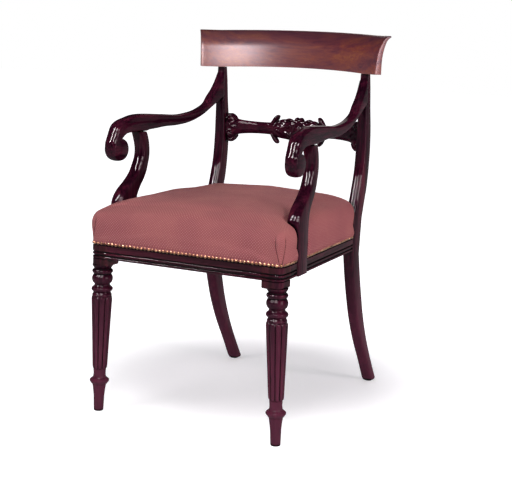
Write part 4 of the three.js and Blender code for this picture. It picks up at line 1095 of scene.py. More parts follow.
# %% Seat rails
rail_thickness = 24
back_rail_back = back_leg_face + 38
side_taper = (half_front - half_back) / (back_leg_face - leg_block)


def side_face(back):
    """Outer face of the side rails at a distance back from the front of the frame."""
    return half_front - side_taper * max(back - leg_block, 0)


def rail_section(profile):
    top = rail_top - rail_bottom
    return [*profile, (rail_thickness, top), (rail_thickness, 0)]


def front_rail_body():
    end = leg_inner - fit_gap
    rings = [[world(x, inset, rail_bottom + z) for inset, z in rail_section(moulding_profile())]
             for x in (-end, end)]
    return scratch_object("front_rail_fine", *loft(rings))


def side_rail_body():
    rings = [[world(side_face(y) - inset, y, rail_bottom + z)
              for inset, z in rail_section(moulding_profile())]
             for y in (leg_block + fit_gap, back_leg_face - fit_gap)]
    rail = scratch_object("side_rail", *loft(rings))
    housing = boolean(support_body(fit_gap), lap_tool(fit_gap))
    return boolean(rail, housing)


def back_rail_body():
    end = back_leg_inner - fit_gap
    plain = [(1.5, 0), (0.4, 0.4), (0, 1.5), (0, rebate_height - 0.5), (0.5, rebate_height),
             (rebate_depth, rebate_height), (rebate_depth, rail_top - rail_bottom)]
    rings = [[world(x, back_rail_back - inset, rail_bottom + z)
              for inset, z in rail_section(plain)] for x in (-end, end)]
    return scratch_object("back_rail_fine", *loft(rings))


dress(front_rail_body(), ["front_rail"], mahogany_x)
dress(back_rail_body(), ["back_rail"], mahogany_x)
dress_pair(side_rail_body(), "side_rail", mahogany_y)
print("rails are", rail_thickness, "mm thick")

# %% [markdown]
# The top rail, or tablet, is cut from one thick plank of figured mahogany. Its face is straight
# below and rolls back at the top, and in plan it is bowed to a sitter's back. Its section is
# swept round that bow, and its ends are drawn in a little, as edges that are sanded are. The tall
# and high lamps are kept off it, because the photograph shows none of their stripes on its face.

# %% Top rail
top_rail_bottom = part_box("top_rail")[0].z / mm
top_rail_height = 91
top_rail_overhang = 40
top_rail_roll = 42
top_rail_arch = 4.5
bow_radius = 400
top_rail_face = stile_front[-1][0] - 5.8
bow_centre = top_rail_face - math.sqrt(bow_radius ** 2 - back_leg_centre ** 2)
bow_half_angle = math.asin((back_leg_centre + top_rail_overhang) / bow_radius)

# Roll share and height share, up the front face and down the back.
top_front_shares = [
    (0, 0), (0.012, 0.06), (0.05, 0.2), (0.11, 0.38), (0.19, 0.58), (0.35, 0.75), (0.58, 0.92),
    (0.76, 0.982),
]
top_lip_shares = [(0.80, 0.992), (0.90, 1.0), (0.97, 0.993), (1.0, 0.972), (0.97, 0.953)]
top_back_shares = [(0.93, 0.945), (0.88, 0.93), (0.72, 0.85), (0.57, 0.67), (0.48, 0.49),
                   (0.44, 0.3), (0.43, 0.1), (0.428, 0)]


def arch_at(x):
    return top_rail_arch * max(1 - (x / back_leg_centre) ** 2, 0)


def top_rail_section():
    rows = (smooth_curve(top_front_shares, 5) + smooth_curve(top_lip_shares, 3)
            + smooth_curve(top_back_shares, 4))
    return [(top_rail_roll * roll, top_rail_bottom + top_rail_height * up) for roll, up in rows]


def top_rail_rings(steps=72, sanded=1.6):
    section = anticlockwise(top_rail_section())
    angles = [bow_half_angle * (2 * i / steps - 1) for i in range(steps + 1)]
    ends = []
    for step in range(4):
        turn = math.pi / 2 * step / 4
        ends.append((sanded * (1 - math.sin(turn)), sanded * (1 - math.cos(turn)) / bow_radius))
    stations = [(-bow_half_angle + shift, draw) for draw, shift in ends]
    stations += [(angle, 0) for angle in angles[1:-1]]
    stations += [(bow_half_angle - shift, draw) for draw, shift in ends[::-1]]
    rings = []
    for angle, draw in stations:
        ring = []
        for out, z in drawn_in(section, draw):
            radius = bow_radius + out
            x = radius * math.sin(angle)
            lift = arch_at(bow_radius * math.sin(angle))
            ring.append(world(x, bow_centre + radius * math.cos(angle), z + lift))
        rings.append(ring)
    return rings


top_rail = scratch_object("top_rail_fine", *loft(top_rail_rings()))
flagged_off(tall_lamps, top_rail)
dress(top_rail, ["top_rail"], figured)
print("top rail is", round(2 * (back_leg_centre + top_rail_overhang)), "mm wide in front")

# %% [markdown]
# The mid rail is carved from the solid. Its ends are leafy terminals, plain rounded stretches run
# inwards to curled leaf tips, and a knot of leaves with beads and a rosette fills the middle. It
# could be sculpted by hand. Here an outline and a few carved forms are added up on a fine skin,
# and a remesh runs them together as a carver's gouge and scraper do.

# %% Mid rail
mid_rail_bottom = rail_top + 166
mid_rail_height = 65
mid_rail_depth = 15
mid_rail_end = back_leg_inner + 0.4
mid_face = back_leg_face + back_leg_sweep * 0.319 + 13
mid_bow_centre = mid_face - math.sqrt(bow_radius ** 2 - back_leg_inner ** 2)

# Half length share, top share and bottom share of the rail's height.
mid_outline_shares = [
    (0, 0.955, 0.06), (0.03, 0.955, 0.06), (0.065, 0.875, 0.08), (0.11, 0.845, 0.11),
    (0.16, 0.875, 0.13), (0.21, 0.92, 0.15), (0.26, 0.905, 0.17), (0.31, 0.84, 0.2),
    (0.36, 0.79, 0.25), (0.42, 0.765, 0.29), (0.55, 0.765, 0.305), (0.68, 0.78, 0.3),
    (0.8, 0.815, 0.275), (0.87, 0.865, 0.23), (0.905, 0.95, 0.14), (0.94, 1.035, 0.07),
    (0.97, 1.06, 0.05), (1, 1.06, 0.05),
]
mid_curve = smooth_curve(mid_outline_shares, 10)


def mid_edges(x):
    """Top and bottom of the mid rail at a distance from the middle of the chair."""
    share = min(abs(x) / mid_rail_end, 1)
    for (low, top0, bottom0), (high, top1, bottom1) in zip(mid_curve, mid_curve[1:]):
        if share <= high:
            t = (share - low) / max(high - low, 1e-9)
            top, bottom = top0 + (top1 - top0) * t, bottom0 + (bottom1 - bottom0) * t
            break
    return (mid_rail_bottom + mid_rail_height * top, mid_rail_bottom + mid_rail_height * bottom)


def eased(value, low, high):
    """0 below low, 1 above high, and a smooth rise between."""
    t = min(max((value - low) / (high - low), 0), 1)
    return t * t * (3 - 2 * t)


def ribs(x, z, root, count, depth):
    """Leaf ribs that fan out from a root, as a hollow gouge leaves them."""
    angle = math.atan2(z - root[1], x - root[0])
    return depth * (0.5 + 0.5 * math.cos(angle * count))


def carving(x, z):
    """How far the carved face stands in front of the plain one."""
    x = abs(x)
    middle = mid_rail_bottom + mid_rail_height * 0.52
    leaf = eased(x, 8, 16) * (1 - eased(x, 56, 68))
    end = eased(x, 150, 168)
    relief = leaf * (1.2 + ribs(x, z, (70, middle), 11, 2.2))
    relief += end * (0.8 + ribs(x, z, (188, middle), 12, 2.0))
    for bead_x, bead_z, radius, height in (
        (0, middle - 1, 11, 4.5), (24, middle + 9.5, 6, 4.2), (24, middle - 13, 5, 3.5),
        (43, middle + 2, 7, 2.6), (172, middle + 22, 7, 3.5), (172, middle - 21, 7, 3.5),
    ):
        away = math.hypot(x - bead_x, z - bead_z) / radius
        relief += height * math.sqrt(max(1 - away * away, 0))
    petals = math.hypot(x, z - middle + 1)
    if petals < 11:
        relief += 0.8 * math.cos(8 * math.atan2(z - middle + 1, x)) * eased(petals, 2, 6)
    return relief


def mid_place(x, out, z):
    """A point of the mid rail, out behind the bowed front face."""
    return world(x, mid_bow_centre + math.sqrt((bow_radius + out) ** 2 - x * x), z)


def mid_body_rings(stations=230, around=52):
    rings = []
    for i in range(stations + 1):
        x = mid_rail_end * (2 * i / stations - 1)
        top, bottom = mid_edges(x)
        half, middle = (top - bottom) / 2, (top + bottom) / 2
        ring = []
        for step in range(around):
            angle = 2 * math.pi * step / around
            c, s = math.cos(angle), math.sin(angle)
            deep = math.copysign(abs(c) ** 0.75, c)
            tall = math.copysign(abs(s) ** 0.8, s)
            z = middle + half * tall
            relief = carving(x, z) * abs(deep) ** 0.6
            out = mid_rail_depth / 2 * (1 - deep) - relief * (1 if deep > 0 else -0.7)
            ring.append(mid_place(x, out, z))
        rings.append(ring)
    return rings


def horn_rings(path, radii, depth, side):
    """A curled leaf tip: a tapering horn along a path of (x, z) points in the rail's face."""
    points = smooth_curve([(x, z, r) for (x, z), r in zip(path, radii)], 6)
    rings = []
    for i, (x, z, radius) in enumerate(points):
        before, after = points[max(i - 1, 0)], points[min(i + 1, len(points) - 1)]
        along = Vector((after[0] - before[0], after[1] - before[1])).normalized()
        ring = []
        for step in range(14):
            angle = 2 * math.pi * step / 14
            across = radius * math.cos(angle)
            out = mid_rail_depth / 2 + depth * min(radius / 4, 1) * math.sin(angle)
            ring.append(mid_place(side * (x - along.y * across), out, z + along.x * across))
        rings.append(ring)
    return rings


# Curled tips as distances from the middle of the rail and heights above its lower edge.
mid_horns = [
    ([(78, 44), (71, 49), (65.5, 55), (62, 60), (57.5, 65), (54.5, 66)],
     [3, 5.4, 6.8, 6.8, 5.4, 3]),
    ([(76, 22), (70, 17), (65.5, 11), (62, 6), (58, 1.5), (55, 0.5)], [3, 5, 6.2, 6.2, 5, 3]),
    ([(40, 54), (34, 58), (26, 59), (17, 55), (12, 54)], [2, 3.2, 3.6, 3, 1]),
    ([(14, 54), (9, 59), (5.5, 61.5), (2, 61)], [2, 4, 5, 3.5]),
    ([(158, 50), (166, 60), (173, 64), (179, 62), (181, 57)], [2, 4.4, 5.4, 4, 1.5]),
    ([(158, 14), (166, 6), (173, 2), (179, 4), (181, 9)], [2, 4.4, 5.4, 4, 1.5]),
]
horn_depth = 8.2
carver_voxel = 0.9


def mid_rail_body():
    vertices, faces = loft(mid_body_rings())
    for path, radii in mid_horns:
        for side in (-1, 1):
            placed = [(x, mid_rail_bottom + up) for x, up in path]
            more, more_faces = loft(horn_rings(placed, radii, horn_depth, side))
            start = len(vertices)
            vertices += more
            faces += [tuple(i + start for i in face) for face in more_faces]
    rail = scratch_object("mid_rail_fine", vertices, faces)
    remesh = rail.modifiers.new("run together", "REMESH")
    remesh.mode = "VOXEL"
    remesh.voxel_size = carver_voxel * mm
    soften = rail.modifiers.new("scraped", "SMOOTH")
    soften.factor = 0.5
    soften.iterations = 2
    return applied(rail)


dress(mid_rail_body(), ["mid_rail"], mahogany_x)

# %% [markdown]
# The seat is stuffed over the rails: webbing, hessian, a pad of curled horsehair, and the rose
# cloth drawn down and nailed to the rebate of the rails. A cube with rounded edges looks like a
# box. The form below is swept from the plan of the frame instead. Its edges rise between the
# corners, where the cloth is pulled down, and it is a little fuller at the back.

# %% Seat form
hem_height = rail_bottom + rebate_height + fit_gap
cover_crown = 98
edge_lift = 13.5
cover_thickness = 1.5
seat_middle = back_rail_back / 2
back_fullness = 4
full_from, full_at = 300, 420

# Scale of the plan and share of the crown's height, from the hem up.
cover_shares = [
    (1, 0), (1, 0.14), (1.007, 0.36), (1.01, 0.5), (1.004, 0.62), (0.985, 0.72), (0.94, 0.8),
    (0.86, 0.87), (0.7, 0.945), (0.45, 0.99), (0.2, 1), (0.04, 1),
]


def frame_plan(inset, step=6):
    """Outline of the seat frame from above, moved in by an inset, as (x, back), anticlockwise."""
    radius = corner_radius - inset
    corner_x = half_front - inset - radius
    half = []
    count = round(corner_x / step)
    half += [(corner_x * i / count, inset) for i in range(count)]
    for i in range(9):
        angle = (i / 8 - 1) * math.pi / 2
        half.append((corner_x + radius * math.cos(angle), inset + radius * (1 + math.sin(angle))))
    start, end = leg_block, back_rail_back - inset
    half.append((side_face(start) - inset, (start + corner_radius) / 2))
    count = round((end - start) / step)
    for i in range(count + 1):
        y = start + (end - start) * i / count
        half.append((side_face(y) - inset, y))
    corner_x = half[-1][0]
    count = round(corner_x / step)
    half += [(corner_x * (1 - i / count), end) for i in range(1, count)]
    return half + [(0, end)] + [(-x, y) for x, y in half[:0:-1]]


def seat_ring(inset, scale, height, drop=0.0):
    z = hem_height + cover_crown * height - drop
    lift = edge_lift * eased(height, 0.4, 0.8)
    ring = []
    for plan_x, plan_y in frame_plan(inset):
        x = plan_x * scale
        y = seat_middle + (plan_y - seat_middle) * scale
        corner = abs(x / side_face(y) * (y - seat_middle) / seat_middle)
        full = back_fullness * eased(y, full_from, full_at) * eased(height, 0.6, 0.85)
        ring.append(world(x, y, z + lift * (1 - min(corner, 1)) + full))
    return ring


def seat_form(name, inset, drop=0.0):
    rows = smooth_curve(cover_shares, 4)
    return scratch_object(name, *loft([seat_ring(inset, *row, drop) for row in rows]))


# %% [markdown]
# The springy pad pushes the cloth out all round while the nails hold its edge. That could be
# sculpted. Here the form is remeshed evenly and blown up for a few frames as cloth with its lower
# edge held, so that the pull of the cloth shapes the shoulders and the corners. No point moves
# more than 4 mm, and none inwards, since a firm pad fills the seat.

# %% Cloth simulation of the seat
seat_voxel = 5
held_height = 7
puff_pressure = 4
puff_frames = 20
puff_limit = 4


def remeshed(target, voxel):
    remesh = target.modifiers.new("even cloth", "REMESH")
    remesh.mode = "VOXEL"
    remesh.voxel_size = voxel * mm
    return applied(target)


def puffed(target):
    """Blows the cloth up with its lower edge held, and limits how far any point may move."""
    data = target.data
    start = [vertex.co.copy() for vertex in data.vertices]
    held = [v.index for v in data.vertices if v.co.z < (hem_height + held_height) * mm]
    target.vertex_groups.new(name="nailed").add(held, 1.0, "REPLACE")
    cloth = target.modifiers.new("cloth", "CLOTH")
    settings = cloth.settings
    settings.quality = 5
    settings.use_pressure = True
    settings.uniform_pressure_force = puff_pressure
    settings.vertex_group_mass = "nailed"
    settings.effector_weights.gravity = 0
    for number in range(1, puff_frames + 1):
        bpy.context.scene.frame_set(number)
    puffy = target.evaluated_get(bpy.context.evaluated_depsgraph_get()).data
    moves = [puffy.vertices[i].co - start[i] for i in range(len(start))]
    target.modifiers.remove(cloth)
    target.vertex_groups.clear()
    bpy.context.scene.frame_set(1)
    outwards = [vertex.normal.copy() for vertex in data.vertices]
    moves = [m - n * min(m.dot(n), 0) for m, n in zip(moves, outwards)]
    moves = [m if m.length < puff_limit * mm else m.normalized() * puff_limit * mm for m in moves]
    for vertex, place, move in zip(data.vertices, start, moves):
        vertex.co = place + move
    return max(move.length for move in moves) / mm


seat = remeshed(seat_form("seat_cover_fine", 0), seat_voxel)
print("the cloth moved", round(puffed(seat), 1), "mm at most")
subdivide = seat.modifiers.new("finer cloth", "SUBSURF")
subdivide.levels = 1
applied(seat)
print("seat cover has", len(seat.data.polygons), "faces")

# %% [markdown]
# The stuffing is curled horsehair, teased out and stitched to the hessian. It has the form of the
# cover, less the thickness of the cloth, and is flat below, where it lies on the hessian. So it is
# the same form again, a little smaller, evened out and cut off level.

# %% Stuffing
webbing_thickness = 1.6
hessian_thickness = 1
weave_lift = (webbing_thickness + fit_gap) / 2
end_level = rail_top + fit_gap + webbing_thickness / 2
weave_level = end_level + weave_lift
hessian_bottom = weave_level + weave_lift + webbing_thickness / 2 + fit_gap
hessian_top = hessian_bottom + hessian_thickness
stuffing_ease = 4.5
stuffing_voxel = 9


def seat_cutters():
    """The space of the supports, and of the stiles and what lies outside them, on both sides."""
    tools = []
    for side in (1, -1):
        for tool in (support_body(fit_gap),
                     stile_shadow("shadow", back_leg_inner - fit_gap, 320, fit_gap, 380)):
            if side < 0:
                twin = mirrored(tool, "cutter")
                bpy.data.objects.remove(tool)
                tool = twin
            tools.append(tool)
    return tools


def mend(work):
    """Merges points that a cut left side by side, and fills its pinholes."""
    bmesh.ops.remove_doubles(work, verts=work.verts, dist=0.00003)
    bmesh.ops.dissolve_degenerate(work, edges=work.edges, dist=0.00001)
    rim = [edge for edge in work.edges if edge.is_boundary]
    bmesh.ops.holes_fill(work, edges=rim, sides=12)
    for _ in range(4):
        odd = {face for edge in work.edges if len(edge.link_faces) > 2
               for face in edge.link_faces}
        if odd:
            bmesh.ops.delete(work, geom=list(odd), context="FACES")
        rim = [edge for edge in work.edges if edge.is_boundary]
        bmesh.ops.holes_fill(work, edges=rim, sides=24)
    wide = [face for face in work.faces if len(face.verts) > 4]
    bmesh.ops.triangulate(work, faces=wide)
    return sum(1 for edge in work.edges if len(edge.link_faces) != 2)


def drop_loose_parts(target):
    """Keeps the largest connected part of a mesh, and closes it."""
    work = bmesh.new()
    work.from_mesh(target.data)
    left = set(work.verts)
    best = set()
    while left:
        grown = {left.pop()}
        front = list(grown)
        while front:
            for edge in front.pop().link_edges:
                for vertex in edge.verts:
                    if vertex in left:
                        left.remove(vertex)
                        grown.add(vertex)
                        front.append(vertex)
        best = max(best, grown, key=len)
    bmesh.ops.delete(work, geom=[v for v in work.verts if v not in best], context="VERTS")
    print(target.name, "has", mend(work), "open edges after cutting")
    work.to_mesh(target.data)
    work.free()


def make_stuffing():
    form = seat_form("seat_stuffing_fine", stuffing_ease, stuffing_ease)
    pad = remeshed(form, stuffing_voxel)
    level = hessian_top + fit_gap
    boolean(pad, box_tool("below", (-400, -100, 0), (400, 700, level)))
    for tool in seat_cutters():
        boolean(pad, tool)
    drop_loose_parts(pad)
    dress(pad, ["seat_stuffing"], horsehair)
    return pad


stuffing = make_stuffing()
print("stuffing has", len(stuffing.data.polygons), "faces and stands on the hessian at",
      round(hessian_top, 1), "mm")

# %% [markdown]
# Round the arm supports and the stiles the cloth is cut to the wood and tucked in. The blown form
# is first drawn in near the wood, and is then cut with the same bodies that made it.

# %% Tuck and cut the cloth round the wood
tuck_rise = 26


def tuck(target, tools, reach=14, depth=5):
    """Draws the cloth in where it runs into the wood."""
    data = target.data
    data.update()
    trees = []
    for tool in tools:
        work = bmesh.new()
        work.from_mesh(tool.data)
        trees.append(BVHTree.FromBMesh(work))
        work.free()
    normals = [vertex.normal.copy() for vertex in data.vertices]
    for vertex, normal in zip(data.vertices, normals):
        if vertex.co.z < (hem_height + held_height) * mm:
            continue
        mirror = Vector((abs(vertex.co.x), vertex.co.y, vertex.co.z))
        for tree in trees:
            found = tree.find_nearest(mirror, reach * mm)
            if found[0] is not None:
                share = 1 - eased(found[3] / mm, 0, reach)
                rise = eased(vertex.co.z / mm, hem_height + held_height, hem_height + tuck_rise)
                vertex.co -= normal * depth * share * rise * mm
    data.update()


tuck(seat, [bpy.data.objects["arm_support_right_fine"], bpy.data.objects["back_leg_right_fine"]])
for tool in seat_cutters():
    boolean(seat, tool)
drop_loose_parts(seat)
print("seat cover after cutting has", len(seat.data.polygons), "faces")

# %% [markdown]
# At each front corner the cloth is folded under in two small pleats, whose edges run up from the
# nails and die away. They are moved in the mesh, where it is first cut finer.

# %% Pleats and tucks
# Direction of each pleat from the centre of the corner's curve, at the nails and at its top.
pleat_paths = ((-46, -97), (-32, -3))
pleat_height = 75
pleat_depth = 1.2
pleat_width = 1.0
pleat_swell = 0.7
pleat_reach = 40
finer_reach = 26
finer_from, finer_to = math.radians(-112), math.radians(22)


def corner_angle(point):
    """Direction and distance of a point from a front corner's centre, mirrored for the left."""
    x = abs(point.x) / mm - (half_front - corner_radius)
    y = point.y / mm - front_face - corner_radius
    return math.atan2(y, x), math.hypot(x, y)


def pleat_cut(point):
    """Shares of a pleat's depth and of the swell beside it, at a point of the cloth."""
    angle, reach = corner_angle(point)
    height = point.z / mm - hem_height
    if reach > pleat_reach or height > pleat_height or abs(angle) > math.pi * 0.75:
        return 0, 0
    share = max(height, 0) / pleat_height
    depth = swell = 0
    for index, (foot, top) in enumerate(pleat_paths):
        line = math.radians(foot + (top - foot) * math.sin(share * math.pi / 2))
        away = (angle - line) * reach
        fade = min((1 - share) * 4, 1)
        depth = max(depth, fade * math.exp(-(away / pleat_width) ** 2))
        outer = away if index else -away
        swell = max(swell, fade * math.exp(-((outer - 3) / 3) ** 2))
    return depth, swell


def refine_corners(target):
    """Cuts the faces at the front corners finer, twice."""
    work = bmesh.new()
    work.from_mesh(target.data)
    for _ in range(2):
        near = []
        for edge in work.edges:
            middle = (edge.verts[0].co + edge.verts[1].co) / 2
            angle, reach = corner_angle(middle)
            low = middle.z / mm < hem_height + pleat_height + 6
            if low and reach < finer_reach and finer_from < angle < finer_to:
                near.append(edge)
        bmesh.ops.subdivide_edges(work, edges=near, cuts=1, use_grid_fill=True, smooth=0.0)
    bmesh.ops.triangulate(work, faces=[f for f in work.faces if len(f.verts) > 4])
    work.to_mesh(target.data)
    work.free()


def fold_pleats(target):
    target.data.update()
    normals = [vertex.normal.copy() for vertex in target.data.vertices]
    painted_crease_shades = target.data.attributes.new("painted_crease_shade", "FLOAT", "POINT")
    cuts = [pleat_cut(vertex.co) for vertex in target.data.vertices]
    for vertex, normal, painted_crease_shade, (depth, swell) in zip(
            target.data.vertices, normals, painted_crease_shades.data, cuts):
        vertex.co += normal * (swell * pleat_swell - depth * pleat_depth) * mm
        # Painted shade: how deep the crease is sets how dark the cloth's colour is painted there.
        painted_crease_shade.value = min(max(depth * 2 - 0.8, 0), 1)


refine_corners(seat)
fold_pleats(seat)
print("two pleats at each front corner,", pleat_height, "mm high")

# %% [markdown]
# The cover is opened below and given its thickness. Its threads run straight back over the seat
# and straight down its sides, so each point's place on the flat cloth is its place in the plan,
# pushed out by as much as it hangs down.

# %% Cover
turn_blend = 9
shoulder_share = 0.86


def hang_out(point):
    """Outward direction of the frame's nearest edge, and how near it is, for a point in plan."""
    x, y = point.x / mm, point.y / mm - front_face
    to_front, to_side = y, side_face(y) - abs(x)
    to_back = back_rail_back - y
    near = min(to_front, to_side, to_back)
    weights = [math.exp(-(d - near) / turn_blend) for d in (to_front, to_side, to_back)]
    out = Vector((math.copysign(weights[1], x), weights[2] - weights[0]))
    return out.normalized() if out.length > 1e-6 else out, near


def mark_cloth_places(target):
    """Stores each point's place on the flat cloth, for the woven pattern."""
    places = target.data.attributes.new("cloth_place", "FLOAT_VECTOR", "POINT")
    shoulder = hem_height + cover_crown * shoulder_share
    for vertex, value in zip(target.data.vertices, places.data):
        out, near = hang_out(vertex.co)
        drop = max(shoulder - vertex.co.z / mm, 0) * (1 - eased(near, 20, 70))
        value.vector = (vertex.co.x + out.x * drop * mm, vertex.co.y + out.y * drop * mm, 0)


def make_cover():
    work = bmesh.new()
    work.from_mesh(seat.data)
    under = [f for f in work.faces if f.normal.z < -0.7
             and max(v.co.z for v in f.verts) < (hem_height + 3) * mm]
    bmesh.ops.delete(work, geom=under, context="FACES")
    work.to_mesh(seat.data)
    work.free()
    mark_cloth_places(seat)
    thick = seat.modifiers.new("cloth thickness", "SOLIDIFY")
    thick.thickness = cover_thickness * mm
    thick.offset = -1
    applied(seat)
    dress(seat, ["seat_cover"], rose)


make_cover()
print("cover is", cover_thickness, "mm thick")

# %% [markdown]
# Below the stuffing, eight strips of jute webbing are stretched over the rails and laced over and
# under each other. They are thin, so each could be one face thick. Here each has its real
# thickness, and rises and falls as it crosses the others.

# %% Webbing
webbing_width = 48
webbing_turn_in = 5
lengthwise_reach = back_leg_inner - webbing_width / 2 - 3
lengthwise_x = [share * lengthwise_reach for share in (-1, -0.3375, 0.3375, 1)]
crosswise_y = [50 + (back_leg_face - 102) / 3 * i for i in range(4)]


def strip_rows(start, end, crossings, lift):
    """(along, height) of a strip from end to end, over the first strip it crosses if lift is 1."""
    clear = webbing_width / 2 + webbing_turn_in
    rows = [(start, end_level)]
    for index, place in enumerate(crossings):
        level = weave_level + weave_lift * lift * (1 if index % 2 == 0 else -1)
        rows.append((max(place - clear, start + webbing_turn_in), level))
        rows.append((min(place + clear, end - webbing_turn_in), level))
    rows.append((end, end_level))
    return rows


def strip_level(rows, along):
    for (a, low), (b, high) in zip(rows, rows[1:]):
        if along <= b:
            return low + (high - low) * eased(along, a, max(b, a + 0.01))
    return rows[-1][1]


def webbing_strip(node_name, rows, place):
    """A strip with bound edges, whose section is drawn along its rise and fall."""
    start, end = rows[0][0], rows[-1][0]
    half, thin = webbing_width / 2, webbing_thickness / 2
    section = [(-half, -thin * 0.7), (-half + 2, -thin), (half - 2, -thin), (half, -thin * 0.7),
               (half, thin * 0.7), (half - 2, thin), (-half + 2, thin), (-half, thin * 0.7)]
    count = round((end - start) / 4)
    rings = []
    for i in range(count + 1):
        along = start + (end - start) * i / count
        level = strip_level(rows, along)
        rings.append([place(along, across, level + up) for across, up in section])
    strip = scratch_object(f"{node_name}_fine", *loft(rings))
    dress(strip, [node_name], jute)


for index, x in enumerate(lengthwise_x):
    rows = strip_rows(webbing_turn_in, back_rail_back - webbing_turn_in, crosswise_y,
                      1 if index % 2 == 0 else -1)
    webbing_strip(f"webbing_lengthwise_{index + 1}", rows,
                  lambda along, across, z, x=x: world(x + across, along, z))
for index, y in enumerate(crosswise_y):
    reach = side_face(y + webbing_width / 2) - webbing_turn_in
    rows = strip_rows(-reach, reach, lengthwise_x, -1 if index % 2 == 0 else 1)
    webbing_strip(f"webbing_crosswise_{index + 1}", rows,
                  lambda along, across, z, y=y: world(along, y + across, z))
print("eight strips,", webbing_width, "mm wide")

# %% [markdown]
# Hessian over the webbing carries the stuffing, and black cotton closes the frame from below. A
# flat sheet would do for both. Here rings of the frame's plan fill it to the middle, so that the
# cotton can sag a little, and each is cut round the wood as the upholsterer's shears cut it.

# %% Hessian and dust cover
hessian_inset = 4.4
dust_cover_inset = 10
dust_cover_thickness = 1
dust_cover_sag = 3


def stretched_cloth(name, inset, top, thickness, sag):
    """Cloth stretched over the frame's plan, with a turned edge and a slight sag."""
    def ring(scale, down):
        z = top - down - sag * (1 - scale ** 2)
        return [world(x * scale, seat_middle + (y - seat_middle) * scale, z)
                for x, y in frame_plan(inset)]
    scales = [0.03, 0.25, 0.5, 0.75, 0.9, 0.965]
    rings = [ring(scale, 0) for scale in scales] + [ring(0.998, 0), ring(1, 0.3 * thickness)]
    rings += [ring(1, 0.7 * thickness), ring(0.998, thickness)]
    rings += [ring(scale, thickness) for scale in scales[::-1]]
    return scratch_object(name, *loft(rings))


hessian_sheet = stretched_cloth(
    "hessian_fine", hessian_inset, hessian_top, hessian_thickness, 0)
for tool in seat_cutters():
    boolean(hessian_sheet, tool)
dress(hessian_sheet, ["hessian"], hessian_cloth)

dust_sheet = stretched_cloth(
    "dust_cover_fine", dust_cover_inset, rail_bottom - fit_gap, dust_cover_thickness,
    dust_cover_sag)
for side in (-1, 1):
    for inner, near, far in ((leg_inner - 2, -50, leg_block + 2),
                             (back_leg_inner - 2, back_leg_face - 2, 560)):
        low, high = sorted((side * inner, side * 400))
        boolean(dust_sheet, box_tool("leg", (low, near, 300), (high, far, 420)))
dress(dust_sheet, ["dust_cover"], black_cotton)

# %% [markdown]
# The edge of the cloth is close nailed: round brass heads stand side by side along the rebate of
# the rails, each a turned dome with a thin rim, pressed a little into the cloth. They stop at the
# wood of the supports and the stiles. No two were driven quite alike, so each leans and turns by
# a fraction that is drawn from a seeded list.

# %% Nails
nail_radius = 3.7
nail_height = 2.5
nail_pitch = 9.5
nail_level = hem_height + 5
nail_end_gap = 1
nail_inset = 0.9
nail_sides = 16
nail_lean = 0.06
# Share of the radius and share of the height, from the rim to the top of the dome.
nail_profile = [(0.94, -0.25), (1, 0), (0.99, 0.12), (0.9, 0.42), (0.72, 0.7), (0.45, 0.91),
                (0.18, 0.99)]
chance = random.Random(7)


def nail_head(place, out):
    """One head. out is its level direction away from the cloth."""
    lean = Vector([chance.uniform(-1, 1) for _ in range(3)]) * nail_lean
    axis = (out + lean).normalized()
    side = axis.cross(Vector((0, 0, 1))).normalized()
    up = side.cross(axis)
    size = nail_radius * chance.uniform(0.96, 1.02)
    rings = []
    for radius, height in nail_profile:
        ring = []
        for step in range(nail_sides):
            angle = 2 * math.pi * step / nail_sides
            reach = side * math.cos(angle) + up * math.sin(angle)
            ring.append(place + (reach * radius * size + axis * height * nail_height) * mm)
        rings.append(ring)
    return loft(rings)


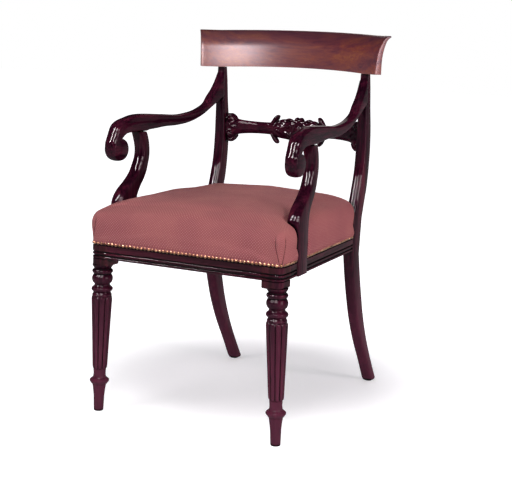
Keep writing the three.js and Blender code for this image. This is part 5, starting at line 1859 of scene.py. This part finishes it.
def nail_row(name, node_name, path):
    """Nails at an even pitch along a path of (x, back) points, outside on its right-hand side."""
    lengths = [math.dist(a, b) for a, b in zip(path, path[1:])]
    total = sum(lengths)
    count = int(total / nail_pitch)
    pitch = total / count
    vertices, faces = [], []
    for i in range(count):
        run = pitch * (i + 0.5)
        index = 0
        while run > lengths[index]:
            run -= lengths[index]
            index += 1
        (x0, y0), (x1, y1) = path[index], path[index + 1]
        share = run / lengths[index]
        out = Vector((y1 - y0, x0 - x1, 0)).normalized()
        place = world(x0 + (x1 - x0) * share, y0 + (y1 - y0) * share,
                      nail_level + chance.uniform(-0.25, 0.25))
        more, more_faces = nail_head(place, out)
        start = len(vertices)
        vertices += more
        faces += [tuple(k + start for k in face) for face in more_faces]
    row = scratch_object(name, vertices, faces)
    dress(row, [node_name], brass)
    print(name, "has", count, "heads,", round(pitch, 2), "mm apart")


def on_side(back):
    return (side_face(back) - nail_inset, back)


def front_path():
    radius = corner_radius - nail_inset
    corner_x = half_front - nail_inset - radius
    half = []
    for i in range(13):
        angle = (i / 12 - 1) * math.pi / 2
        half.append((corner_x + radius * math.cos(angle),
                     nail_inset + radius * (1 + math.sin(angle))))
    half += [on_side(leg_block), on_side(support_front - nail_end_gap)]
    return [(-x, y) for x, y in half[::-1]] + half


side_path = [on_side(support_front + support_depth + nail_end_gap),
             on_side(back_leg_face - nail_end_gap)]
back_path = [(back_leg_inner - nail_end_gap, back_rail_back - nail_inset),
             (nail_end_gap - back_leg_inner, back_rail_back - nail_inset)]
nail_row("nails_front", "nail_row_front", front_path())
nail_row("nails_right", "nail_row_right", side_path)
nail_row("nails_left", "nail_row_left", [(-x, y) for x, y in side_path[::-1]])
nail_row("nails_back", "nail_row_back", back_path)

# %% [markdown]
# The joinery inside the chair is right as the frame has it: screws, dowels, plugs and glued
# corner blocks. Those solids stay, and only take their real finishes.

# %% Finishes of the joinery
joinery_finishes = {
    "arm_dowel": beech, "arm_screw_plug": mahogany_y, "corner_block": beech,
    "arm_screw": steel, "arm_support_screw": steel, "front_block_screw": steel,
    "back_block_screw": steel,
}
finished = 0
for name, piece in frame["nodes"].items():
    kinds = [kind for kind in joinery_finishes if name.startswith(kind)]
    if kinds:
        for slot in piece.material_slots:
            slot.material = joinery_finishes[max(kinds, key=len)]
        finished += 1
print(finished, "solids of the joinery keep their shape")
